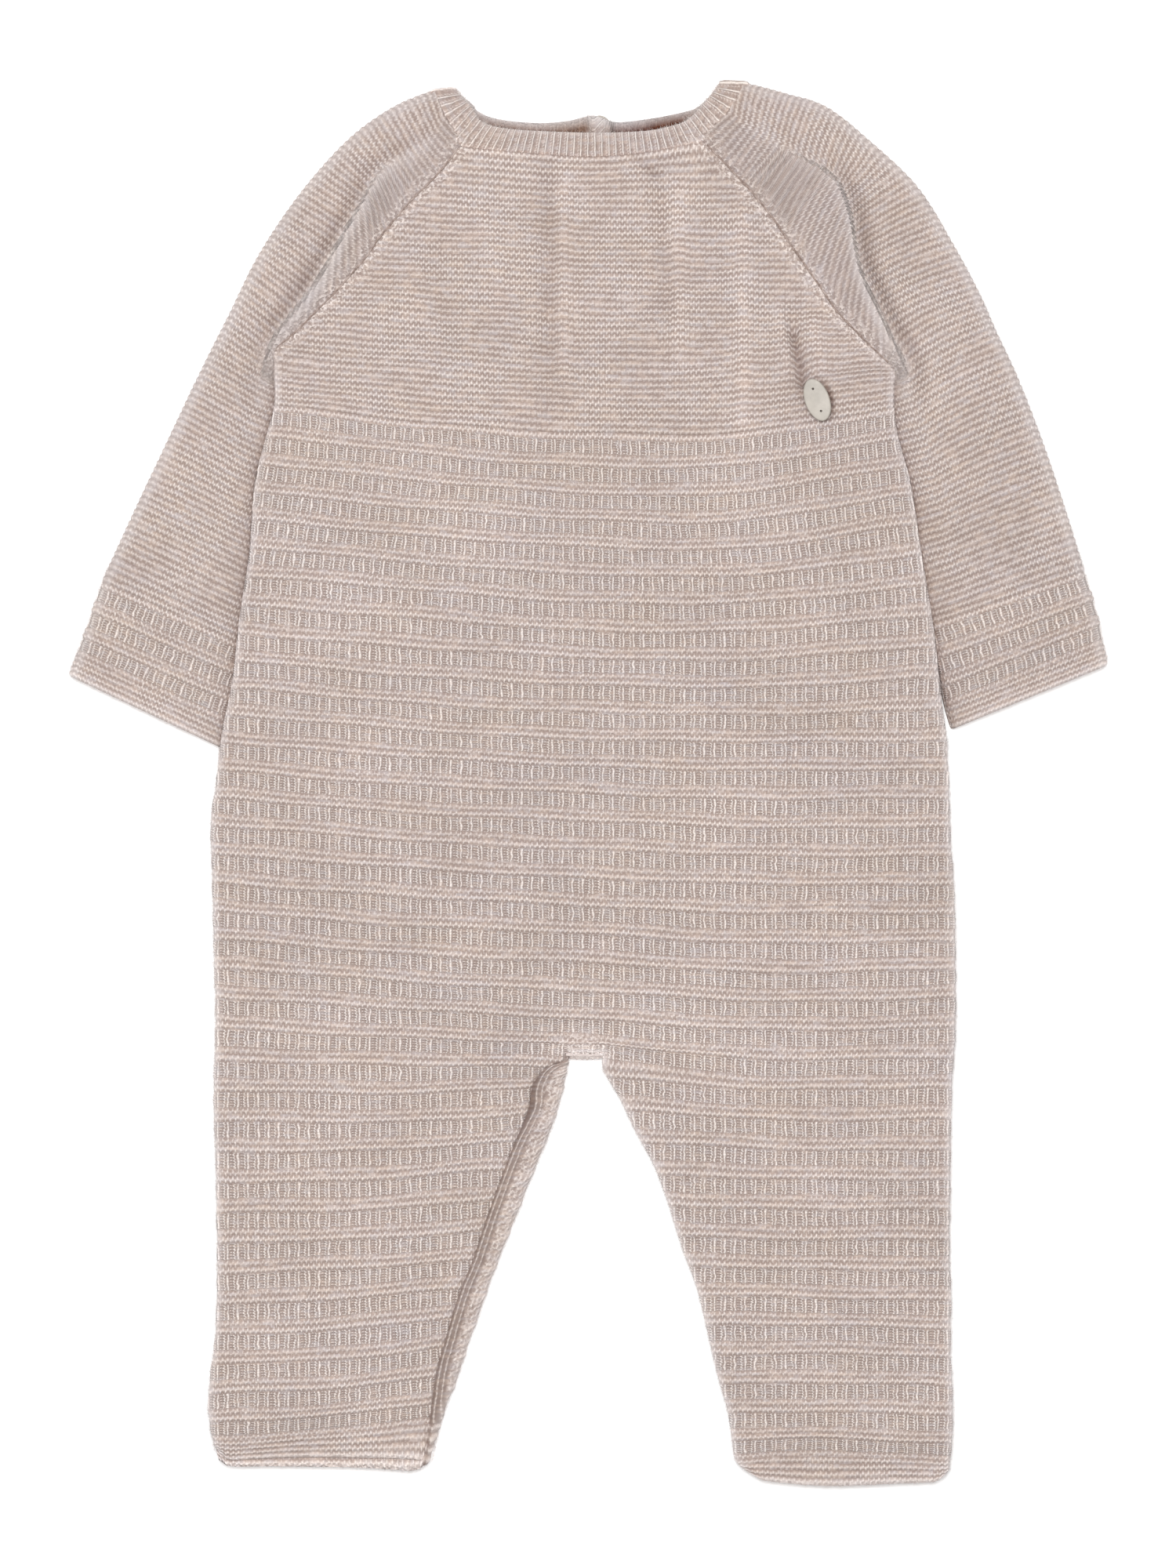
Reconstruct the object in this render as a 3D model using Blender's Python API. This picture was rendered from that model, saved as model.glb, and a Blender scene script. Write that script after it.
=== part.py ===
"""Knitted baby romper with raglan sleeves and long legs, laid flat on its back.

The frame: metres, +Z up, the front of the garment uppermost, the neck towards +Y. The wearer's right
is at -X. The origin is under the middle of the garment, on the surface that it lies on. Every cloth
piece is a wall of knitted fabric around one middle height, where the front and the back part.
Tables and sizes are in millimetres, and each solid is placed in metres.
"""
import math

import bmesh
import bpy
import numpy as np

MM = 0.001

# ---- driving dimensions, mm -------------------------------------------------------------------
WALL = 2.0                    # thickness of the knitted fabric
LAYER_GAP = 0.3               # air between the front and the back of the flat garment
SEAM_GAP = 0.35               # air left between two pieces at a seam
MID_HEIGHT = WALL + LAYER_GAP / 2
FOLD_RADIUS = (WALL + LAYER_GAP) / 2   # from the fold's axis to the middle of the fabric
FOLD_REACH = FOLD_RADIUS + WALL / 2    # from the fold's axis to the outside of the fabric
EDGE_THINNING = 0.9           # how far the outside drops towards a cut edge, as if rolled
EDGE_SLANT = 1.2              # how far the body's edge overhangs beside a sleeve
SLANT_START = 9.0             # length below the armpit over which that overhang grows

BAND_COUNT = 36               # rib bands down body and legs, each closed by a raised welt
WELT_RISE = 0.6               # height of a welt's two garter ridges over the rib bands
WELT_GROOVE = 0.12            # height of the groove between them
WELT_HALF = 0.237             # half width of a welt, in courses (one course = one band)
BORDER_RIDGES = 4             # garter ridges in each hem border
BORDER_RISE = 0.4
CROTCH_COURSE = 22.65         # where the panel parts into two legs
LEG_SPLIT = 0.05              # share of the half width that the crotch strip takes
MID_ACROSS = 0.45             # share of the half width where a row's middle height is given

NECK_COURSE = -10.0           # the neck seam, ten bands above the yoke's lower edge
HEM_COURSE = 37.0
BORDER_COURSE = 36.0

PUFF = 1.5                    # how far the middle of the front stands off the back
PUFF_EDGE = 22.0              # distance from a side seam over which it rises
PUFF_INSEAM = 18.0            # the same from an inner leg seam
BODY_HALF_WIDTH = 115.0
LEG_WIDTH = 84.0
NECK_LIFT = 1.0               # height of the front over its resting level along the neck seam

NECK_RIB_PITCH = 2.35         # one knit and one purl wale of the neckband
BAND_WALL = 1.7               # thickness of the neckband
NECK_RIB_RISE = 0.28
SLIT_X = 4.0                  # the back neck opening, just off the middle
SLIT_END_COURSE = -5.0

BUTTON_LENGTH = 14.9
BUTTON_WIDTH = 8.4
BUTTON_THICKNESS = 1.6
BUTTON_EDGE = 0.45
BUTTON_X, BUTTON_Y = 77.9, 130.0
BUTTON_TURN = math.radians(-70.0)      # long axis from +X
BUTTON_TILT = math.radians(9.0)        # its outer long side stands higher
BUTTON_HOLE_SPREAD = 4.0               # each hole from the middle, along the long axis
BUTTON_HOLE_RADIUS = 0.6

CLOSING_BUTTON_RADIUS = 3.5
CLOSING_BUTTON_THICKNESS = 1.2
CLOSING_BUTTON_Y = 223.6
LAP_CLEARANCE = 0.3
LAP_THICKNESS = 1.0                    # each end of the neckband where the two lap
LAP_HALF = 4.3                         # half length of the lap
LAP_RUN = 11.0                         # length over which an end thins towards the lap
LAP_SLOPE = 6.0                        # length over which the band rises over the closing button
LAP_SEAM_RAISE = 0.4                   # how far it stands off at its seam there

CLOTH_COLOUR = (0.575, 0.475, 0.435, 1.0)
BAND_COLOUR = (0.555, 0.470, 0.430, 1.0)
BUTTON_COLOUR = (0.610, 0.575, 0.510, 1.0)


def table(names, *rows):
    """A table's columns, by name."""
    return {name: np.array(values, float) for name, values in zip(names.split(), zip(*rows))}


# ---- tables, mm: one row for each section -----------------------------------------------------
# Outer edges of the body: armhole seam, side seam and outer leg, from neck to hem.
EDGE_RIGHT = table(
    "y x",
    (216.5, -43.7), (207.2, -50.9), (199.5, -58.7), (188.0, -68.8), (176.3, -77.6), (163.5, -89.3),
    (152.0, -101.1), (147.7, -106.1), (145.0, -106.9), (140.8, -106.9), (128.3, -106.9),
    (116.8, -109.9), (102.9, -113.3), (79.5, -115.2), (55.7, -118.7), (31.7, -121.6), (18.1, -124.5),
    (10.1, -125.6), (-0.5, -126.7), (-11.2, -128.3), (-32.5, -128.0), (-53.9, -127.5),
    (-80.5, -126.9), (-107.2, -127.5), (-133.9, -126.7), (-187.2, -126.9), (-203.2, -128.8),
    (-213.9, -129.3), (-224.5, -127.7), (-230.9, -125.9), (-236.0, -124.5))
EDGE_LEFT = table(
    "y x",
    (218.1, 39.2), (206.4, 50.7), (194.1, 61.3), (182.1, 69.6), (170.7, 77.6), (160.3, 84.8),
    (152.3, 92.3), (145.6, 99.2), (141.9, 102.9), (139.7, 104.3), (135.5, 104.3), (127.5, 104.3),
    (119.2, 105.3), (102.9, 109.6), (79.5, 113.3), (54.9, 117.3), (36.0, 119.5), (24.5, 120.8),
    (14.7, 122.1), (-0.5, 122.9), (-21.9, 123.7), (-32.5, 124.5), (-53.9, 125.1), (-85.9, 125.1),
    (-101.9, 124.0), (-133.9, 123.5), (-160.5, 123.2), (-173.9, 123.7), (-192.5, 123.5),
    (-213.9, 124.3), (-229.9, 123.5), (-235.2, 122.7), (-237.9, 121.6), (-240.0, 121.0))

# Knitted rows of the yoke and body: the height of each row at five places across.
BODY_ROWS = table(
    "course right_y right_mid_y centre_y left_mid_y left_y",
    (-10, 216.3, 214.1, 212.8, 214.1, 218.1),
    (-9, 206.7, 204.5, 203.5, 204.0, 204.3),
    (-8, 197.1, 195.2, 194.1, 194.1, 194.1),
    (-6, 179.5, 177.1, 175.5, 175.2, 175.5),
    (-4, 162.4, 158.9, 156.5, 156.5, 157.1),
    (-2.6, 150.4, 145.9, 143.5, 143.5, 146.9),
    (-2, 146.1, 140.5, 137.6, 137.9, 141.9),
    (-1.5, 141.3, 135.7, 133.1, 133.1, 139.2),
    (0, 128.3, 121.9, 118.7, 118.7, 127.5),
    (3, 101.1, 94.4, 91.2, 90.9, 100.0),
    (6, 72.0, 66.9, 63.2, 62.9, 69.3),
    (9, 43.2, 37.9, 34.9, 34.4, 37.9),
    (12, 15.7, 10.1, 7.5, 6.1, 6.4),
    (15, -12.8, -17.9, -20.8, -22.9, -22.7),
    (18, -41.6, -46.9, -49.6, -52.3, -52.3),
    (20, -61.1, -66.1, -69.1, -72.3, -70.9),
    (22, -81.1, -85.1, -87.7, -92.0, -91.5))

# Knitted rows of each leg: the height at the side seam, part way and at the inner leg.
RIGHT_LEG_ROWS = table(
    "course outer_y mid_y inner_y",
    (22, -81.1, -85.1, -87.7), (22.65, -88.5, -90.7, -92.3), (23, -92.5, -93.9, -95.5),
    (24, -102.9, -103.7, -102.1), (25, -113.1, -113.6, -110.9), (27, -133.9, -132.8, -129.6),
    (29, -154.7, -153.1, -150.1), (31, -175.5, -173.3, -170.1), (33, -195.7, -193.9, -189.9),
    (35, -215.7, -213.6, -209.6), (36, -224.0, -221.6, -218.1), (37, -230.9, -229.3, -230.9))
LEFT_LEG_ROWS = table(
    "course outer_y mid_y inner_y",
    (22, -91.5, -92.0, -87.7), (22.65, -98.1, -98.4, -92.3), (23, -101.6, -101.9, -97.6),
    (24, -112.3, -112.3, -109.1), (26, -132.8, -132.8, -131.2), (28, -153.3, -153.1, -152.0),
    (30, -173.9, -173.1, -172.5), (32, -193.6, -192.3, -192.3), (34, -213.1, -211.7, -212.3),
    (35, -222.9, -221.3, -221.9), (36, -230.9, -229.3, -230.4), (37, -237.9, -239.5, -237.1))

# Inner leg edges. The right leg has rolled: its front ends at a seam short of the fold.
INSEAM_RIGHT_FRONT = table(
    "y x",
    (-85.0, -6.4), (-87.7, -6.4), (-92.3, -6.7), (-95.5, -12.5), (-102.1, -18.1), (-111.5, -20.3),
    (-124.3, -25.3), (-137.9, -30.4), (-152.3, -35.5), (-162.1, -38.7), (-174.1, -43.5),
    (-190.7, -48.5), (-198.4, -50.7), (-211.2, -52.8), (-221.3, -54.1), (-230.9, -55.7))
INSEAM_RIGHT_FOLD = table(
    "y x",
    (-85.0, -6.4), (-87.7, -6.4), (-92.3, -6.4), (-96.5, -6.9), (-107.2, -9.1), (-117.9, -12.5),
    (-128.5, -16.8), (-139.2, -21.1), (-149.9, -25.3), (-160.5, -29.6), (-171.2, -33.6),
    (-181.9, -37.3), (-192.5, -41.1), (-203.2, -44.5), (-213.9, -48.8), (-224.5, -51.6),
    (-232.0, -53.2))
INSEAM_LEFT = table(
    "y x",
    (-85.0, 6.4), (-87.7, 6.4), (-92.3, 5.1), (-97.6, 5.1), (-101.9, 7.5), (-107.2, 10.7),
    (-117.9, 15.7), (-128.5, 21.6), (-139.2, 25.9), (-149.9, 29.3), (-160.5, 32.8), (-171.2, 36.8),
    (-181.9, 39.5), (-192.5, 41.9), (-203.2, 44.5), (-213.9, 47.5), (-224.5, 49.1), (-230.4, 50.1),
    (-233.9, 52.3), (-237.1, 55.5))

# Sleeves, from the neck to the cuff: the fold along the top of the arm, the crease and the height
# of the inner edge, which follows the body's edge at a seam's gap plus what it stands off there.
RIGHT_SLEEVE_ROWS = table(
    "row fold_x fold_y crease_x crease_y inner_y stand_off crease_lift",
    (0, -52.5, 236.0, -48.8, 227.2, 219.2, 0, 0), (1, -65.9, 230.4, -56.5, 217.1, 208.3, 0, 1.0),
    (2, -81.1, 219.7, -70.1, 208.8, 195.2, 0, 2.0), (3, -97.1, 202.1, -79.7, 193.3, 180.3, 0, 2.6),
    (4, -111.7, 180.8, -93.4, 169.6, 164.0, 0, 3.0), (5, -122.4, 159.5, -107.6, 150.4, 147.9, 0, 2.0),
    (6, -133.1, 138.1, -113.3, 129.1, 126.4, 0.1, 0.4), (7, -143.2, 116.8, -119.7, 106.1, 102.9, 0.25, 0),
    (8, -153.3, 95.5, -122.7, 82.1, 78.4, 0.25, 0), (9, -162.0, 76.6, -126.7, 60.1, 56.3, 0, 0),
    (10, -165.6, 68.5, -127.5, 51.5, 47.5, 0, 0), (11, -168.5, 60.0, -129.0, 42.5, 38.7, 0, 0),
    (12, -171.5, 51.2, -131.0, 33.5, 29.9, 0, 0), (13, -174.4, 43.7, -133.0, 24.5, 20.3, 0, 0),
    (14, -177.1, 36.5, -134.5, 16.3, 12.0, 0.4, 0))
LEFT_SLEEVE_ROWS = table(
    "row fold_x fold_y crease_x crease_y inner_y stand_off crease_lift",
    (0, 53.6, 238.4, 47.5, 228.3, 219.9, 0, 0), (1, 67.5, 234.7, 58.7, 221.3, 208.0, 0, 0.2),
    (2, 81.3, 230.1, 69.9, 214.7, 198.9, 0, 0.5), (3, 95.7, 218.9, 83.7, 206.4, 185.3, 0, 1.3),
    (4, 112.3, 202.9, 89.1, 194.4, 172.3, 0, 2.4), (5, 124.3, 183.7, 92.5, 175.7, 160.0, 0, 3.0),
    (6, 133.3, 166.9, 99.9, 158.7, 149.6, 0, 3.0), (7, 139.2, 153.6, 107.5, 143.2, 140.3, 0, 2.2),
    (8, 146.4, 138.1, 111.5, 125.9, 123.5, 0.1, 0.4), (9, 154.7, 116.8, 117.5, 103.7, 101.3, 0.3, 0),
    (10, 161.9, 95.5, 121.5, 81.3, 78.7, 0.25, 0), (11, 166.9, 79.5, 125.0, 64.3, 61.3, 0, 0),
    (12, 169.1, 72.0, 126.5, 57.0, 53.9, 0.4, 0), (13, 171.7, 63.7, 128.0, 47.5, 44.3, 0.6, 0),
    (14, 173.9, 55.5, 129.5, 38.0, 34.5, 1.2, 0), (15, 175.7, 47.2, 131.5, 29.5, 26.1, 2.1, 0),
    (16, 177.1, 40.0, 133.0, 21.8, 18.3, 3.2, 0))
CUFF_BANDS = 3                 # rib bands of a cuff, above its border
CREASE_SHARE = 0.45            # where the crease lies between inner edge and fold
CREASE_FALL = 0.075            # how quickly it drops on its outer side

# Neckband, from one end at the middle of the back, round the wearer's right shoulder, across the
# front and round to the other end. turn is 0 on the front, 1 on the back, between them in a fold.
BAND_STATIONS = table(
    "station seam_x seam_y neck_x neck_y turn seam_lift neck_lift",
    (0, 8.3, 211.9, 8.3, 225.5, 1, 0, 0), (1, 4.0, 211.9, 4.0, 226.4, 1, 0, 0),
    (2, -1.0, 211.8, -1.0, 226.6, 1, 0, 0), (3, -7.0, 211.9, -6.7, 225.6, 1, 0, 0),
    (4, -15.7, 212.6, -15.7, 224.5, 1, 0, 0), (5, -27.0, 214.3, -25.9, 225.1, 1, 0, 0),
    (6, -36.0, 216.0, -33.0, 226.4, 1, 0, 0), (7, -42.6, 218.2, -37.6, 228.5, 1, 0, 0),
    (8, -45.2, 223.0, -39.6, 231.0, 1, 0, 0), (9, -49.4, 231.0, -43.6, 234.2, 1, 0, 0),
    (10, -51.2, 234.2, -44.4, 235.0, 1, 0, 0), (11, -51.2, 234.2, -44.4, 235.0, 0.5, 0, 0),
    (12, -51.2, 234.2, -44.4, 235.0, 0, 0, 0), (13, -49.4, 231.0, -42.6, 233.0, 0, 0, 0),
    (14, -45.2, 223.0, -39.3, 229.4, 0, 0.1, 0.2), (15, -42.6, 218.2, -36.9, 225.4, 0, 0.15, 0.6),
    (16, -36.5, 216.1, -32.0, 223.2, 0, 0.4, 1.4), (17, -24.0, 214.9, -22.0, 221.8, 0, 0.8, 2.3),
    (18, 1.3, 213.4, 1.3, 220.9, 0, 1.0, 2.7), (19, 20.0, 215.0, 19.0, 221.5, 0, 0.8, 2.3),
    (20, 31.0, 217.0, 28.5, 223.3, 0, 0.4, 1.4), (21, 38.0, 219.4, 33.8, 225.5, 0, 0.15, 0.6),
    (22, 42.4, 224.3, 38.0, 229.5, 0, 0.1, 0.2), (23, 47.0, 228.7, 41.0, 232.9, 0, 0, 0),
    (24, 52.0, 236.9, 44.2, 237.3, 0, 0, 0), (25, 52.0, 236.9, 44.2, 237.3, 0.5, 0, 0),
    (26, 52.0, 236.9, 44.2, 237.3, 1, 0, 0), (27, 47.0, 228.7, 41.5, 233.6, 1, 0, 0),
    (28, 42.4, 224.3, 39.0, 231.2, 1, 0, 0), (29, 38.0, 219.4, 36.0, 229.2, 1, 0, 0),
    (30, 31.0, 216.1, 30.0, 227.6, 1, 0, 0), (31, 22.7, 214.0, 22.7, 226.7, 1, 0, 0),
    (32, 13.0, 212.4, 13.0, 225.6, 1, 0, 0), (33, 8.0, 211.9, 8.0, 225.6, 1, 0, 0),
    (34, 4.0, 211.9, 4.0, 226.2, 1, 0, 0), (35, -0.3, 211.9, -0.3, 226.4, 1, 0, 0))
BACK_NECK_ROW = table(
    "across y",
    (-1.0, 216.3), (-0.8, 214.7), (-0.5, 212.6), (-0.1, 211.4), (0.1, 211.3), (0.5, 212.7),
    (0.8, 215.3), (1.0, 218.1))
SHOULDER_LEAN = math.radians(20.0)     # how far a shoulder's fold leans out from +Y

# Soft folds of the front: where each runs, its half width, and its rise (a trough is below 0).
FRONT_FOLDS = table(
    "x0 y0 x1 y1 half_width rise",
    (-13, 208, -12, 124, 5.5, -0.9), (24, 208, 30, 152, 5.0, -0.8), (70, 160, 73, 132, 3.6, -1.3),
    (88, 150, 80, 110, 6.0, 0.8), (-62, 168, -30, 132, 10.0, 0.7), (-88, 120, -40, 84, 13.0, 0.5),
    (50, 96, 84, 44, 12.0, 0.6), (-98, 40, -58, -14, 14.0, 0.6), (30, 0, 84, -34, 15.0, 0.5),
    (-8, -76, -46, -50, 7.0, 0.8), (10, -78, 52, -60, 7.5, 0.8), (-104, -132, -70, -168, 12.0, 0.7),
    (60, -128, 98, -170, 12.0, 0.7), (-112, -196, -80, -214, 9.0, 0.5), (70, -204, 104, -222, 9.0, 0.5))


# ---- smooth curves through a table ------------------------------------------------------------
def slope_matrix(knots):
    """Turns values at the knots into slopes there, as an average of the two sides."""
    count = len(knots)
    slopes = np.zeros((count, count))
    for i in range(count):
        before = max(i - 1, 0)
        after = min(i + 1, count - 1)
        for low in range(before, after):
            share = 1.0 / (after - before)
            step = knots[low + 1] - knots[low]
            slopes[i, low] -= share / step
            slopes[i, low + 1] += share / step
    return slopes


def curve_weights(knots, places):
    """Weights of the knots' values for a smooth curve, one row for each place."""
    forward = knots if knots[-1] > knots[0] else knots[::-1]
    places = np.clip(np.atleast_1d(np.asarray(places, float)), forward[0], forward[-1])
    cell = np.clip(np.searchsorted(forward, places, side="right") - 1, 0, len(forward) - 2)
    step = forward[cell + 1] - forward[cell]
    t = (places - forward[cell]) / step
    slopes = slope_matrix(forward)
    weights = (t ** 3 - 2 * t ** 2 + t)[:, None] * step[:, None] * slopes[cell]
    weights += (t ** 3 - t ** 2)[:, None] * step[:, None] * slopes[cell + 1]
    here = np.arange(len(places))
    weights[here, cell] += 2 * t ** 3 - 3 * t ** 2 + 1
    weights[here, cell + 1] += 3 * t ** 2 - 2 * t ** 3
    return weights if knots[-1] > knots[0] else weights[:, ::-1]


def read(rows, name, key, places):
    """The table's named column, read smoothly at places along its key column."""
    return curve_weights(rows[key], places) @ rows[name]


def ease(value):
    """0 below 0, 1 above 1, and a smooth step between."""
    t = np.clip(value, 0.0, 1.0)
    return t * t * (3 - 2 * t)


def seam_shift(edge, y, gap):
    """How far sideways a piece moves from an edge curve to leave this gap square to it."""
    slope = (read(edge, "x", "y", y + 0.5) - read(edge, "x", "y", y - 0.5)) / 1.0
    return gap * np.sqrt(1 + slope ** 2)


def overhang(y, height):
    """How far in from the body's upper edge its side lies at a height, beside a sleeve."""
    armpit = EDGE_LEFT["y"][9]
    grown = ease((armpit - y) / SLANT_START)
    return EDGE_SLANT * grown * np.clip(1 - height / (2 * MID_HEIGHT - EDGE_THINNING), 0, 1)


# ---- the front's and back's plan --------------------------------------------------------------
def blend_across(across, heights):
    """Row height at a place across, from its heights at the five named places."""
    weights = curve_weights(np.array([-1, -MID_ACROSS, 0, MID_ACROSS, 1.0]), across)
    return np.sum(weights * heights, axis=1)


def body_plan(across, course):
    """Plan place of a knitted row's point above the crotch."""
    names = ("right_y", "right_mid_y", "centre_y", "left_mid_y", "left_y")
    heights = np.stack([read(BODY_ROWS, name, "course", course) for name in names], axis=1)
    y = blend_across(across, heights)
    right_x = read(EDGE_RIGHT, "x", "y", heights[:, 0])
    left_x = read(EDGE_LEFT, "x", "y", heights[:, 4])
    return np.where(across < 0, -across * right_x, across * left_x), y


def leg_plan(across, course, rows, outer_edge, inner_edge):
    """Plan place in one leg, from its side seam (1) to its inner edge (LEG_SPLIT)."""
    from_inner = (np.abs(across) - LEG_SPLIT) / (1 - LEG_SPLIT)
    outer_y = read(rows, "outer_y", "course", course)
    mid_y = read(rows, "mid_y", "course", course)
    inner_y = read(rows, "inner_y", "course", course)
    weights = curve_weights(np.array([0, MID_ACROSS, 1.0]), from_inner)
    y = weights[:, 0] * inner_y + weights[:, 1] * mid_y + weights[:, 2] * outer_y
    outer_x = read(outer_edge, "x", "y", outer_y)
    inner_x = read(inner_edge, "x", "y", inner_y)
    return inner_x + (outer_x - inner_x) * from_inner, y


def panel_plan(across, course, right_inseam):
    """Plan place of a point of the front or back, in the body or a leg."""
    x, y = body_plan(across, np.minimum(course, BODY_ROWS["course"][-1]))
    in_leg = course > BODY_ROWS["course"][-1]
    right_x, right_y = leg_plan(across, course, RIGHT_LEG_ROWS, EDGE_RIGHT, right_inseam)
    left_x, left_y = leg_plan(across, course, LEFT_LEG_ROWS, EDGE_LEFT, INSEAM_LEFT)
    x = np.where(in_leg, np.where(across < 0, right_x, left_x), x)
    y = np.where(in_leg, np.where(across < 0, right_y, left_y), y)
    return x, y


def fold_rise(x, y):
    """Height that the soft folds add at a plan place."""
    rise = np.zeros_like(x)
    folds = FRONT_FOLDS
    for i in range(len(folds["x0"])):
        dx = folds["x1"][i] - folds["x0"][i]
        dy = folds["y1"][i] - folds["y0"][i]
        length = math.hypot(dx, dy)
        along = ((x - folds["x0"][i]) * dx + (y - folds["y0"][i]) * dy) / length
        beside = ((x - folds["x0"][i]) * dy - (y - folds["y0"][i]) * dx) / length
        beyond = np.maximum(np.maximum(-along, along - length), 0)
        width = folds["half_width"][i]
        rise += folds["rise"][i] * np.exp(-(beside / width) ** 2 - (beyond / (1.6 * width)) ** 2)
    return rise


def front_lift(across, course, x, y):
    """How far the front stands above its resting level: puffed, folded, and down at its seams."""
    from_side = (1 - np.abs(across)) * np.where(course > CROTCH_COURSE, LEG_WIDTH, BODY_HALF_WIDTH)
    side = 1 - np.exp(-(from_side / PUFF_EDGE) ** 2)
    from_inseam = np.maximum(np.abs(across) - LEG_SPLIT, 0)
    from_inseam = from_inseam * np.where(course > CROTCH_COURSE, LEG_WIDTH, BODY_HALF_WIDTH)
    parted = ease((course - 17) / (CROTCH_COURSE - 17))
    inseam = 1 - parted * np.exp(-(from_inseam / PUFF_INSEAM) ** 2)
    from_neck = ease((course - NECK_COURSE) / 2.5)
    level = NECK_LIFT * (1 - across ** 2) * (1 - from_neck) + PUFF * side * from_neck
    return np.maximum(level * inseam + fold_rise(x, y) * side * inseam * from_neck, 0)


def welt_profile(course):
    """Height of the two garter ridges of a welt round each whole course."""
    from_middle = np.clip(np.abs(course - np.round(course)) / WELT_HALF, 0, 1)
    groove = WELT_GROOVE * ease(1 - 2 * from_middle)
    return WELT_RISE * np.sin(math.pi * from_middle) ** 2 + groove


def welt_relief(course):
    """Height of the raised welts and of the hem border's ridges over the rib bands."""
    is_welt = (course > 0.5) & (course < BORDER_COURSE - 0.5)
    welt = np.where(is_welt, welt_profile(course), 0)
    in_border = (course - BORDER_COURSE) * BORDER_RIDGES
    border = BORDER_RISE * np.sin(math.pi * np.clip(in_border, 0, BORDER_RIDGES)) ** 2
    return welt + border


def cloth_height(turn, outside, lift, relief):
    """Height of a cloth face: turn 0 is the front, 1 the back, between them a fold."""
    radius = FOLD_RADIUS + (WALL / 2 + relief if outside else -WALL / 2 - relief)
    return MID_HEIGHT + radius * np.cos(math.pi * turn) + lift


# ---- solids -----------------------------------------------------------------------------------
def material(name, colour, roughness):
    """A plain Principled finish."""
    made = bpy.data.materials.new(name)
    made.use_nodes = True
    shader = made.node_tree.nodes["Principled BSDF"]
    shader.inputs["Base Color"].default_value = colour
    shader.inputs["Roughness"].default_value = roughness
    shader.inputs["Metallic"].default_value = 0.0
    return made


def add_object(name, mesh, finish, collection):
    """Puts a finished mesh in the scene as one named sub-part."""
    mesh.materials.append(finish)
    mesh.shade_smooth()
    mesh.set_sharp_from_angle(angle=math.radians(50))
    made = bpy.data.objects.new(name, mesh)
    collection.objects.link(made)
    return made


def knit_wall(name, columns, rows, place, finish, collection, gone=None, plain=()):
    """A wall of cloth: a grid of columns and rows, its inside and its outside set by place.

    columns are tuples that place understands, rows are numbers, gone tells which cells, by
    column and row number, the piece does without, and plain names the rows that only its
    outside needs.
    """
    bm = bmesh.new()
    bmesh.ops.create_grid(bm, x_segments=len(columns) - 1, y_segments=len(rows) - 1, size=0.5)
    column_layer = bm.verts.layers.int.new("column")
    row_layer = bm.verts.layers.int.new("row")
    for vert in bm.verts:
        vert[column_layer] = round((vert.co.x + 0.5) * (len(columns) - 1))
        vert[row_layer] = round((0.5 - vert.co.y) * (len(rows) - 1))
    if gone:
        unwanted = []
        for face in bm.faces:
            column = min(vert[column_layer] for vert in face.verts)
            row = min(vert[row_layer] for vert in face.verts)
            if gone(column, row):
                unwanted.append(face)
        bmesh.ops.delete(bm, geom=unwanted, context="FACES")
    extruded = bmesh.ops.extrude_face_region(bm, geom=bm.faces[:], use_keep_orig=True)
    outer = {item for item in extruded["geom"] if isinstance(item, bmesh.types.BMVert)}
    for outside in (False, True):
        verts = [vert for vert in bm.verts if (vert in outer) == outside]
        at_column = np.array([columns[vert[column_layer]] for vert in verts], float)
        at_row = np.array([rows[vert[row_layer]] for vert in verts], float)
        points = np.stack(place(at_column, at_row, outside), axis=1) * MM
        for vert, point in zip(verts, points):
            vert.co = point
    spare = []
    for edge in bm.edges:
        row = edge.verts[0][row_layer]
        if row in plain and edge.verts[1][row_layer] == row:
            near = {vert for face in edge.link_faces for vert in face.verts}
            if not near & outer:
                spare.append(edge)
    bmesh.ops.dissolve_edges(bm, edges=spare, use_verts=True)
    bmesh.ops.recalc_face_normals(bm, faces=bm.faces)
    if bm.calc_volume(signed=True) < 0:
        bmesh.ops.reverse_faces(bm, faces=bm.faces)
    mesh = bpy.data.meshes.new(name)
    bm.to_mesh(mesh)
    bm.free()
    return add_object(name, mesh, finish, collection)


def panel_edge(across, leg_inner):
    """True at a panel's outer edges and, in the legs, at its inner ones."""
    return (np.abs(across) > 0.999) | leg_inner


def front_place(columns, course, outside):
    """A point of the front: columns hold the place across."""
    across = columns[:, 0]
    x, y = panel_plan(across, course, INSEAM_RIGHT_FRONT)
    at_side = np.abs(across) > 0.999
    at_inseam = (course >= CROTCH_COURSE) & (np.abs(across) < LEG_SPLIT + 0.001)
    relief = welt_relief(course) * (1 - panel_edge(across, at_inseam))
    relief = relief - EDGE_THINNING * panel_edge(across, at_inseam)
    lift = front_lift(across, course, x, y)
    z = cloth_height(0, outside, lift, relief if outside else 0)
    x = x - np.where(at_side, np.sign(across) * overhang(y, z), 0)
    return x, y, z


def welt_rows(middle):
    """The rows that draw one welt: its edges, its ridges and its groove."""
    return [middle + share * WELT_HALF for share in (-1, -0.5, 0, 0.5, 1)]


def welted_courses():
    """Rows of the front: the yoke's few, three for each welt, and the hem border's."""
    yoke = [-10, -9.5, -9, -8, -7, -6, -5, -4, -3.2, -2.6, -2.3, -2, -1.5, -1, -0.5, 0]
    bands = [CROTCH_COURSE]
    for welt in range(1, BAND_COUNT):
        bands += welt_rows(welt)
    half_ridge = 0.5 / BORDER_RIDGES
    border = [BORDER_COURSE + half_ridge * i for i in range(2 * BORDER_RIDGES + 1)]
    return yoke + sorted(bands) + border


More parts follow.
